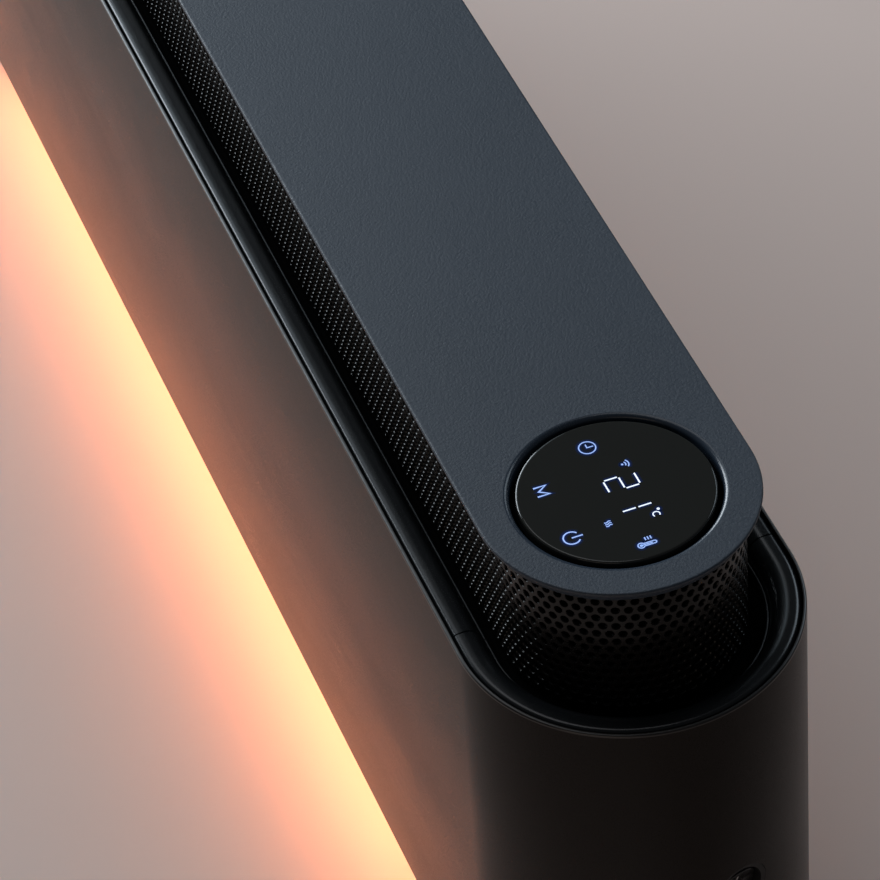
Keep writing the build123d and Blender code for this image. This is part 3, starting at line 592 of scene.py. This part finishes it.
def buildTrim():
    outer, inner = -trimLow.y, -trimHigh.y
    top, foot = trimHigh.z, trimHigh.z - trim["fall"]
    edge, bead, crown = trim["edgeRound"], trim["bead"], trim["crown"]
    roundStart = inner + trim["ledge"] + bead
    crest = roundStart + trim["reach"]
    profile = [(inner, trimLow.z)]
    profile += arcSpots((inner + bead, foot), bead, 180, trim["beadEnd"], trim["beadSteps"])
    for i in range(trim["roundSteps"] + 1):
        angle = math.pi / 2 * i / trim["roundSteps"]
        profile.append((crest - trim["reach"] * math.cos(angle), foot + trim["fall"] * math.sin(angle)))
    slope = math.asin((outer - edge - crest) / (crown - edge))  # where the crown meets the outer edge
    meeting = 90 - math.degrees(slope)
    profile += arcSpots((crest, top - crown), crown, 90, meeting, trim["crownSteps"])[1:]
    low = top - crown + (crown - edge) * math.cos(slope)
    profile += arcSpots((outer - edge, low), edge, meeting, 0, trim["edgeSteps"])[1:]
    profile += [(outer, trimLow.z)]
    seam = trimHigh.x + trim["seamShift"]
    endSeam = seam + trim["seam"]
    runSteps, endSteps, turnSteps = trim["runSteps"], trim["endSteps"], trim["turnSteps"]
    lengths = {
        "trim_front": straightRun(-seam, seam, -1.0, runSteps),
        "trim_rear": straightRun(seam, -seam, 1.0, runSteps),
        "trim_end_right": joinRuns(
            straightRun(endSeam, shellRun, -1.0, endSteps), turnRun(shellRun, -90, 90, turnSteps),
            straightRun(shellRun, endSeam, 1.0, endSteps),
        ),
        "trim_end_left": joinRuns(
            straightRun(-endSeam, -shellRun, 1.0, endSteps), turnRun(-shellRun, 90, 270, turnSteps),
            straightRun(-shellRun, -endSeam, -1.0, endSteps),
        ),
    }
    for node, stations in lengths.items():
        points, faces = sweepProfile(profile, stations)
        makePiece(node.replace("trim_", "trim_moulding_"), points, faces, "trim_black", (node,))


buildTrim()
print("trim built")


# Shell: wrapped sheet with a hem, and a round hole for the switch in the display end

shell = {
    "sheet": 1.2 * mm, "hem": 10.0 * mm, "edgeRound": 0.8 * mm, "switchDegrees": 14.5,
    "holeRadius": 11.5 * mm, "patchHalf": 15.0 * mm, "patchSteps": 12, "patchRings": 4,
    "rearSlack": 0.2 * mm, "roundSteps": 4, "beforeSteps": 24, "afterSteps": 36, "runSteps": 10,
    "turnSteps": 60,
}


def rearOpeningHalf():
    # The shell's rear edges: its points on the rear side that lie nearest to the middle
    limit = shellHigh.y - shell["rearSlack"]
    return min(abs(v.co.x) for v in frame["nodes"]["front_shell"].data.vertices if v.co.y > limit)


def buildShell():
    switchZ = rockerHinge["pos_m"][2]
    half, steps, rings = shell["patchHalf"], shell["patchSteps"], shell["patchRings"]
    patchDegrees = math.degrees(half / shellRadius)
    patchFrom, patchTo = shell["switchDegrees"] + patchDegrees, shell["switchDegrees"] - patchDegrees
    rearX = shellLow.x + (shellHigh.x - shellLow.x) / 2 + rearOpeningHalf()
    stations = joinRuns(
        straightRun(rearX, shellRun, 1.0, 1), turnRun(shellRun, 90, patchFrom, shell["beforeSteps"]),
        turnRun(shellRun, patchFrom, patchTo, steps), turnRun(shellRun, patchTo, -90, shell["afterSteps"]),
        straightRun(shellRun, -shellRun, -1.0, shell["runSteps"]),
        turnRun(-shellRun, 270, 90, shell["turnSteps"]), straightRun(-shellRun, -rearX, 1.0, 1),
    )
    patchStart = 1 + shell["beforeSteps"]  # the first station is the rear edge
    inner = shellRadius - shell["sheet"]
    edge, roundSteps = shell["edgeRound"], shell["roundSteps"]
    bottom, top = shellLow.z, shellHigh.z
    rows = [switchZ - half + 2 * half * i / steps for i in range(steps + 1)]
    profile = arcSpots((shellRadius - edge, bottom + edge), edge, -90, 0, roundSteps)
    wallStart = len(profile)
    profile += [(shellRadius, z) for z in rows]
    profile += arcSpots((shellRadius - edge, top - edge), edge, 0, 90, roundSteps)
    backStart = len(profile) + 1
    profile += [(inner, top)] + [(inner, z) for z in reversed(rows)]
    profile += [(inner, bottom + shell["sheet"]), (inner - shell["hem"], bottom + shell["sheet"])]
    profile += [(inner - shell["hem"], bottom)]
    points, faces = sweepProfile(profile, stations)
    # A square patch is left out on both sides of the sheet, for the hole
    count = len(profile)
    skip = set()
    for i in range(patchStart, patchStart + steps):
        for j in range(steps):
            skip.add(i * count + wallStart + j)
            skip.add(i * count + backStart + j)
    faces = [face for index, face in enumerate(faces) if index not in skip]
    # Rings from the square's border in to the hole fill the patch
    rising = [-1 + 2 * i / steps for i in range(steps)]
    falling = [1 - 2 * i / steps for i in range(steps)]
    square = [(a, -1.0) for a in rising] + [(1.0, b) for b in rising]
    square += [(a, 1.0) for a in falling] + [(-1.0, b) for b in falling]
    n, hole = len(square), shell["holeRadius"] / half
    rims = []
    for radius in (shellRadius, inner):
        first = len(points)
        for k in range(rings + 1):
            share = k / rings
            for a, b in square:
                long = math.hypot(a, b)
                u = (a * (1 - share) + a / long * hole * share) * half
                v = (b * (1 - share) + b / long * hole * share) * half
                angle = math.radians(shell["switchDegrees"]) - u / shellRadius
                station = (shellRun, math.cos(angle), math.sin(angle))
                points.append(onStation(station, radius, switchZ + v))
        for k in range(rings):
            for i in range(n):
                a, b = first + k * n + i, first + k * n + (i + 1) % n
                faces.append((a, b, b + n, a + n))
        rims.append(first + rings * n)
    for i in range(n):
        j = (i + 1) % n
        faces.append((rims[0] + i, rims[0] + j, rims[1] + j, rims[1] + i))
    makePiece("shell_sheet", points, faces, "shell_paint", ("front_shell",))


buildShell()
print("shell built")


# Outlet mesh: fine sheet with staggered round holes, wrapped round under the lid

grille = {
    "pitch": 4.48 * mm, "rowStep": 3.76 * mm, "hole": 2.75 * mm, "lip": 0.30 * mm, "sheet": 1.0 * mm,
    "margin": 1.0 * mm, "lipOut": 0.36, "lipDeep": 0.75, "sharpDegrees": 42.0,
}


def buildGrille():
    outer = -meshLow.y
    straight, arc = 2 * lidRun, math.pi * outer
    around = 2 * (straight + arc)
    columns = round(around / grille["pitch"])
    pitch, rowStep = around / columns, grille["rowStep"]
    low, high = meshLow.z, lidLow.z
    cellHeight = 4 * rowStep / 3
    rows = int((high - low - 2 * grille["margin"] - cellHeight) / rowStep) + 1
    firstRow = (low + high - (rows - 1) * rowStep) / 2

    def onSheet(along, height, depth):
        along = along % around
        radius = outer - depth
        if along < straight:
            return (-lidRun + along, -radius, height)
        if along < straight + arc:
            angle = (along - straight) / outer - math.pi / 2
            return (lidRun + radius * math.cos(angle), radius * math.sin(angle), height)
        if along < 2 * straight + arc:
            return (lidRun - (along - straight - arc), radius, height)
        angle = (along - 2 * straight - arc) / outer + math.pi / 2
        return (-lidRun + radius * math.cos(angle), radius * math.sin(angle), height)

    # One cell: its six-sided border with a spot halfway along each side, then the lip and wall of its hole
    half, third = pitch / 2, rowStep / 3
    corners = [(half, third), (0.0, 2 * third), (-half, third)]
    corners += [(-half, -third), (0.0, -2 * third), (half, -third)]
    border = []
    for i, (u, v) in enumerate(corners):
        before = corners[i - 1]
        border += [((before[0] + u) / 2, (before[1] + v) / 2), (u, v)]
    radius, lip = grille["hole"] / 2, grille["lip"]
    count = len(border)
    turns = [math.radians(360 / count * i) for i in range(count)]
    rings = [(border, 0.0)]
    # The lip turns in by one facet, then comes the hole's wall
    for out, depth in ((lip, 0.0), (grille["lipOut"] * lip, grille["lipDeep"] * lip), (0.0, grille["sheet"])):
        reach = radius + out
        rings.append(([(math.cos(turn) * reach, math.sin(turn) * reach) for turn in turns], depth))
    stretches = {
        "mesh_front": (0.0, straight), "mesh_end_right": (straight, straight + arc),
        "mesh_rear": (straight + arc, 2 * straight + arc), "mesh_end_left": (2 * straight + arc, around),
    }
    for node, (start, end) in stretches.items():
        points, faces = [], []
        for row in range(rows):
            height = firstRow + row * rowStep
            shift = pitch / 2 if row % 2 else 0.0
            for column in range(columns):
                along = (column + 0.5) * pitch + shift
                if not start <= along % around < end:
                    continue
                base = len(points)
                for spots, depth in rings:
                    points += [onSheet(along + u, height + v, depth) for u, v in spots]
                for k in range(len(rings) - 1):
                    for i in range(count):
                        a, b = base + count * k + i, base + count * k + (i + 1) % count
                        faces.append((a, b, b + count, a + count))
                # Beyond the lowest and highest row the sheet runs on plain
                for edge, limit, upward in ((0, low, -1), (rows - 1, high, 1)):
                    if row != edge:
                        continue
                    for (u, v), (nextU, nextV) in zip(border[1:5], border[2:6]):
                        first = len(points)
                        spots = ((u, height + upward * v), (u, limit))
                        spots += ((nextU, limit), (nextU, height + upward * nextV))
                        points += [onSheet(along + across, level, 0.0) for across, level in spots]
                        faces.append(tuple(range(first, first + 4)))
        makePiece(
            node.replace("mesh_", "outlet_sheet_"), points, faces, "mesh_black", (node,),
            sharpDegrees=grille["sharpDegrees"],
        )
    print("outlet sheet:", columns, "columns,", rows, "rows")


buildGrille()


# Display: dark glass with lit symbols

display = {
    "edge": 0.8 * mm, "edgeBlend": 1.4, "edgeSteps": 8, "turnSteps": 128, "raise": 0.03 * mm,
    "sink": 0.02 * mm, "haloWidth": 0.8, "haloShare": 0.6, "hazeWidth": 2.0, "hazeShare": 0.3,
    "mitreLimit": 0.6, "sharpDegrees": 30.0,
    "white": {"body": (0.5, 0.55, 0.6), "dark": (0.80, 0.90, 1.0), "light": (0.86, 0.94, 1.0),
              "strength": 1.0, "cloud": 60.0},
    "blue": {"body": (0.3, 0.4, 0.6), "dark": (0.26, 0.42, 0.90), "light": (0.33, 0.50, 1.0),
             "strength": 0.82, "cloud": 60.0},
    # Halo and haze: painted glow, a dim blue emission round the lit symbols
    "halo": {"body": (0.010, 0.011, 0.016), "dark": (0.004, 0.015, 0.075), "light": (0.006, 0.019, 0.095),
             "strength": 1.0, "cloud": 60.0, "roughness": 0.06},
    "haze": {"body": (0.014, 0.015, 0.015), "dark": (0.001, 0.004, 0.020), "light": (0.002, 0.005, 0.026),
             "strength": 1.0, "cloud": 60.0, "roughness": 0.06},
}


def buildGlass():
    radius, edge = (glassHigh.x - glassLow.x) / 2, display["edge"]
    profile = [(0.0, glassLow.z), (radius, glassLow.z)]
    profile += arcSpots((radius - edge, glassHigh.z - edge), edge, 0, 90, display["edgeSteps"])
    profile += [(radius - display["edgeBlend"] * edge, glassHigh.z), (0.0, glassHigh.z)]
    stations = turnRun(lidRun, 0, 360, display["turnSteps"])[:-1]
    points, faces = sweepProfile(profile, stations, closed=True)
    makePiece("touch_glass", points, faces, "display_glass", ("display_glass",))


def ring(centre, radius, fromDegrees, toDegrees, count=28):
    return arcSpots(centre, radius, fromDegrees, toDegrees, count)


def wave(centre, height, width, count=12):
    spots = []
    for i in range(count + 1):
        share = i / count
        sway = width * math.sin(2 * math.pi * share)
        spots.append((centre[0] + sway, centre[1] + height * (share - 0.5)))
    return spots


def digitTwo(centre, width, height, gap):
    left, right = centre[0] - width / 2, centre[0] + width / 2
    low, mid, high = centre[1] - height / 2, centre[1], centre[1] + height / 2
    return [
        [(left + gap, high), (right - gap, high)], [(right, high - gap), (right, mid + gap)],
        [(left + gap, mid), (right - gap, mid)], [(left, mid - gap), (left, low + gap)],
        [(left + gap, low), (right - gap, low)],
    ]


# Symbols in millimetres from the display's centre, read from the front: lines, line width, colour
symbols = [
    (digitTwo((-2.8, 3.15), 6.2, 11.25, 0.5), 0.55, "white"),
    ([[(10.4, 3.8), (10.4, 8.5)], [(10.4, -1.9), (10.4, 2.8)]], 0.55, "white"),
    ([ring((14.0, 9.5), 0.34, 0, 360, 14), ring((16.1, 8.0), 1.2, 50, 310)], 0.40, "white"),
    ([ring((-10.85, 6.7), 0.2, 0, 360, 8), ring((-10.85, 6.7), 1.25, 45, 135),
      ring((-10.85, 6.7), 2.3, 45, 135)], 0.42, "blue"),
    ([ring((-23.45, -1.05), 2.95, 0, 360, 48), [(-23.45, 1.15), (-23.45, -1.15), (-25.15, -1.15)]],
     0.42, "blue"),
    ([ring((27.9, -2.5), 1.15, 122, 418), [(27.29, -1.5), (27.29, 2.4)], ring((27.9, 2.4), 0.61, 180, 0, 10),
      [(28.51, 2.4), (28.51, -1.5)], ring((27.9, -2.5), 0.36, 0, 360, 12), [(27.9, -2.5), (27.9, 1.6)],
      [(24.6, -0.1), (26.1, -0.1)], [(24.6, 0.9), (26.1, 0.9)], [(24.6, 1.9), (26.1, 1.9)]], 0.44, "blue"),
    ([wave((x, -8.6), 2.3, 0.28) for x in (12.8, 13.7, 14.6)], 0.40, "blue"),
    ([[(-12.4, -25.5), (-12.4, -21.0), (-10.2, -24.3), (-8.0, -21.0), (-8.0, -25.5)]], 0.66, "blue"),
    ([ring((14.9, -22.4), 2.9, 125, 415, 40), [(14.9, -22.4), (14.9, -18.4)]], 0.50, "blue"),
]


def strokeOutline(line, width):
    # Left and right edges of a stroke that follows the line, mitred at its corners
    looped = len(line) > 2 and math.dist(line[0], line[-1]) < weld["sameSpot"]
    spots = line[:-1] if looped else line
    count = len(spots)
    left, right = [], []
    for i, spot in enumerate(spots):
        before = spots[i - 1] if looped or i else spot
        after = spots[(i + 1) % count] if looped or i < count - 1 else spot
        pairs = [(a, b) for a, b in ((before, spot), (spot, after)) if a != b]
        ways = [Vector((b[0] - a[0], b[1] - a[1])).normalized() for a, b in pairs]
        way = sum(ways, Vector((0.0, 0.0))).normalized()
        reach = width / 2 / max(display["mitreLimit"], way.dot(ways[0]))
        side = Vector((-way.y, way.x)) * reach
        left.append((spot[0] + side.x, spot[1] + side.y))
        right.append((spot[0] - side.x, spot[1] - side.y))
    return left, right, looped


def addStrokes(points, faces, lines, width, place):
    # Flat bars along the lines: place gives a spot on a bar's upper side (1) or lower side (0)
    for line in lines:
        left, right, looped = strokeOutline(line, width)
        count, base = len(left), len(points)
        for side in (1, 0):
            points += [place(u, v, side) for u, v in left + right]
        low = 2 * count
        for i in range(count if looped else count - 1):
            j = (i + 1) % count
            a, b, c, d = base + i, base + j, base + count + j, base + count + i
            faces += [(a, b, c, d), (a + low, b + low, c + low, d + low)]
            faces += [(a, b, b + low, a + low), (d, c, c + low, d + low)]
        if not looped:
            for i in (0, count - 1):
                a, d = base + i, base + count + i
                faces.append((a, d, d + low, a + low))


def buildSymbols(name, colour, widen, share):
    # The halo and the haze are all the symbols again, wider and lower: a painted glow of the symbols' light on the
    # glass
    points, faces = [], []
    heights = (glassHigh.z - display["sink"], glassHigh.z + share * display["raise"])

    def onGlass(u, v, side):
        return (lidRun + u * mm, v * mm, heights[side])

    for lines, width, shade in symbols:
        if widen or shade == colour:
            addStrokes(points, faces, lines, width + widen, onGlass)
    finish = glowFinish(name, display[colour])
    makePiece(
        name, points, faces, "display_glass", sharpDegrees=display["sharpDegrees"], material=finish
    )


buildGlass()
buildSymbols("painted_glow_haze", "haze", display["hazeWidth"], display["hazeShare"])
buildSymbols("painted_glow_halo", "halo", display["haloWidth"], display["haloShare"])
buildSymbols("lit_digits", "white", 0.0, 1.0)
buildSymbols("lit_symbols", "blue", 0.0, 1.0)
print("display built")


# Rocker: two sloping faces that meet over the axle, with an on and an off mark

rocker = {
    "radius": 8.5 * mm, "below": 3.0 * mm, "crown": 2.4 * mm, "tilt": 10.0, "steps": 48,
    "sharpDegrees": 15.0, "round": 0.35 * mm, "roundSteps": 3, "roundDegrees": 50.0,
    "onMark": [(0.0, 3.0), (0.0, 5.8)], "offMark": ring((0.0, -4.4), 1.3, 0, 360), "markWidth": 0.6,
    "markRaise": 0.04 * mm, "markSink": 0.1 * mm, "markSharpDegrees": 30.0,
    "print": {"dark": (0.50, 0.50, 0.49), "light": (0.58, 0.58, 0.57), "roughness": (0.45, 0.55),
              "bump": 0.05},
}


def rockerPlace():
    axis = Vector(rockerHinge["axis"]).normalized()
    up = Vector((0.0, 0.0, 1.0))
    out = axis.cross(up).normalized()
    turn = Matrix((axis, up, out)).transposed().to_4x4()
    tilt = Matrix.Rotation(math.radians(rocker["tilt"]), 4, "X")
    return Matrix.Translation(rockerHinge["pos_m"]) @ turn @ tilt


def buildRocker():
    radius, steps = rocker["radius"], rocker["steps"]
    slope = math.tan(math.radians(rocker["tilt"]))
    turns = [2 * math.pi * i / steps for i in range(steps)]
    rim = [(radius * math.cos(turn), radius * math.sin(turn)) for turn in turns]
    place = rockerPlace()
    points = [(x, y, -rocker["below"]) for x, y in rim]
    points += [(x, y, rocker["crown"] + abs(y) * slope) for x, y in rim]
    faces = [(i, (i + 1) % steps, steps + (i + 1) % steps, steps + i) for i in range(steps)]
    faces.append(tuple(range(steps)))
    faces.append(tuple(steps + i for i in range(steps // 2 + 1)))
    faces.append(tuple(steps + (steps // 2 + i) % steps for i in range(steps // 2 + 1)))
    points = [tuple(place @ Vector(point)) for point in points]
    piece = makePiece(
        "rocker_cap", points, faces, "rocker_black", ("switch_rocker",), body="rocker",
        sharpDegrees=rocker["sharpDegrees"],
    )
    bevel = piece.modifiers.new("roundedEdges", "BEVEL")
    bevel.width = rocker["round"]
    bevel.segments = rocker["roundSteps"]
    bevel.limit_method = "ANGLE"
    bevel.angle_limit = math.radians(rocker["roundDegrees"])
    bevel.harden_normals = True

    def onFace(u, v, side):
        lift = rocker["markRaise"] if side else -rocker["markSink"]
        return tuple(place @ Vector((u * mm, v * mm, rocker["crown"] + abs(v) * mm * slope + lift)))

    points, faces = [], []
    addStrokes(points, faces, (rocker["onMark"], rocker["offMark"]), rocker["markWidth"], onFace)
    finish = coatFinish("rocker_print", {**coatBase, **rocker["print"]})
    makePiece(
        "rocker_marks", points, faces, "rocker_black", body="rocker",
        sharpDegrees=rocker["markSharpDegrees"], material=finish,
    )


buildRocker()
print("rocker built")


# Carried-over nodes: finish by slot, with rounded faces shaded smooth

smoothing = {"merge": 0.001 * mm, "degrees": 28}


def buildSmoothing():
    tree = bpy.data.node_groups.new("smoothRounds", "GeometryNodeTree")
    tree.interface.new_socket(name="Geometry", in_out="INPUT", socket_type="NodeSocketGeometry")
    tree.interface.new_socket(name="Geometry", in_out="OUTPUT", socket_type="NodeSocketGeometry")
    entry, leave = tree.nodes.new("NodeGroupInput"), tree.nodes.new("NodeGroupOutput")
    merge = tree.nodes.new("GeometryNodeMergeByDistance")
    merge.inputs["Distance"].default_value = smoothing["merge"]
    smooth, crisp = (tree.nodes.new("GeometryNodeSetShadeSmooth") for i in range(2))
    crisp.domain = "EDGE"
    crisp.inputs["Shade Smooth"].default_value = False
    angle = tree.nodes.new("GeometryNodeInputMeshEdgeAngle")
    steep = tree.nodes.new("FunctionNodeCompare")
    steep.operation = "GREATER_THAN"
    steep.inputs[1].default_value = math.radians(smoothing["degrees"])
    tree.links.new(entry.outputs[0], merge.inputs["Geometry"])
    tree.links.new(merge.outputs[0], smooth.inputs["Geometry"])
    tree.links.new(smooth.outputs[0], crisp.inputs["Geometry"])
    tree.links.new(angle.outputs["Unsigned Angle"], steep.inputs[0])
    tree.links.new(steep.outputs[0], crisp.inputs["Selection"])
    tree.links.new(crisp.outputs[0], leave.inputs[0])
    return tree


smoothRounds = buildSmoothing()
slotOf = {part["node"]: part["material_slot"] for part in frame["record"]["subparts"]}
# The deck and the display carrier take the painted-shade black instead of their slot's finish
ownFinish = {"outlet_deck": "deck_painted_shade", "display_carrier": "deck_painted_shade"}  # both lie deep in shadow
for node, part in frame["nodes"].items():
    part.data.materials.clear()
    part.data.materials.append(finishes[ownFinish.get(node, slotOf[node])])
    if not part.hide_render:
        part.modifiers.new("smoothRounds", "NODES").node_group = smoothRounds
print("carried-over nodes finished")


# Floor, lights and camera

stage = {"colour": (0.76, 0.60, 0.53), "roughness": 0.7, "half": 4.0}
lamps = {
    "windowLamp": {"place": (-4.04, -1.36, 1.69), "aim": (0.2, 0.0, 0.25), "size": (3.5, 2.1), "power": 205.0,
                   "colour": (0.84, 0.93, 1.0)},
    "skyLamp": {"place": (-2.4, -0.15, 2.1), "aim": (0.2, 0.0, 0.25), "size": (1.8, 1.3), "power": 8.5,
                "colour": (0.72, 0.88, 1.0)},
    "topLamp": {"place": (-0.95, -0.3, 3.0), "aim": (-0.95, -0.3, 0.0), "size": (2.3, 1.7), "power": 12.0,
                "colour": (0.95, 0.97, 1.0)},
    "rearLamp": {"place": (-0.9, 2.0, 1.9), "aim": (-0.6, 0.5, 0.0), "size": (1.4, 1.0), "power": 11.0,
                 "colour": (0.74, 0.88, 1.0)},
    "fillLamp": {"place": (2.0, -1.4, 0.7), "aim": (0.4, 0.0, 0.2), "size": (1.6, 1.0), "power": 3.0,
                 "colour": (1.0, 0.82, 0.68)},
}
room = {"colour": (0.80, 0.87, 0.97), "strength": 0.05}
# Places of the camera and its aim count from the lid's upper side
view = {
    "place": (1.40949, -0.38835, 1.07393), "aim": (0.33505, -0.04581, 0.0), "rollDegrees": -4.80,
    "lens": 184.98, "sensor": 36.0,
}


def buildStage():
    half = stage["half"]
    mesh = bpy.data.meshes.new("floor")
    corners = [(-half, -half, 0), (half, -half, 0), (half, half, 0), (-half, half, 0)]
    mesh.from_pydata(corners, [], [(0, 1, 2, 3)])
    floor = bpy.data.objects.new("floor", mesh)
    bpy.context.scene.collection.objects.link(floor)
    plain = {"Base Color": (*stage["colour"], 1.0), "Roughness": stage["roughness"]}
    mesh.materials.append(startFinish("floorPale", plain)[0])


def addLamp(name, look):
    light = bpy.data.lights.new(name, "AREA")
    light.shape = "RECTANGLE"
    light.size, light.size_y = look["size"]
    light.energy = look["power"]
    light.color = look["colour"]
    lamp = bpy.data.objects.new(name, light)
    bpy.context.scene.collection.objects.link(lamp)
    lamp.location = look["place"]
    way = Vector(look["aim"]) - Vector(look["place"])
    lamp.rotation_euler = way.to_track_quat("-Z", "Y").to_euler()
    lamp.visible_camera = False


def addRoom():
    world = bpy.data.worlds.new("room")
    bpy.context.scene.world = world
    world.use_nodes = True
    background = world.node_tree.nodes["Background"]
    background.inputs["Color"].default_value = (*room["colour"], 1.0)
    background.inputs["Strength"].default_value = room["strength"]


def addCamera():
    lift = Vector((0, 0, lidTop))
    place = Vector(view["place"]) + lift
    gaze = (Vector(view["aim"]) + lift - place).normalized()
    level = gaze.cross(Vector((0, 0, 1))).normalized()
    roll = math.radians(view["rollDegrees"])
    right = level * math.cos(roll) + level.cross(gaze) * math.sin(roll)
    camera = bpy.data.objects.new("camera", bpy.data.cameras.new("camera"))
    camera.data.lens = view["lens"]
    camera.data.sensor_width = view["sensor"]
    bpy.context.scene.collection.objects.link(camera)
    turn = Matrix((right, right.cross(gaze), -gaze)).transposed().to_4x4()
    camera.matrix_world = Matrix.Translation(place) @ turn
    bpy.context.scene.camera = camera


buildStage()
for name, look in lamps.items():
    addLamp(name, look)
addRoom()
addCamera()
bpy.context.scene.view_settings.view_transform = "Standard"
print("stage, lamps and camera set")
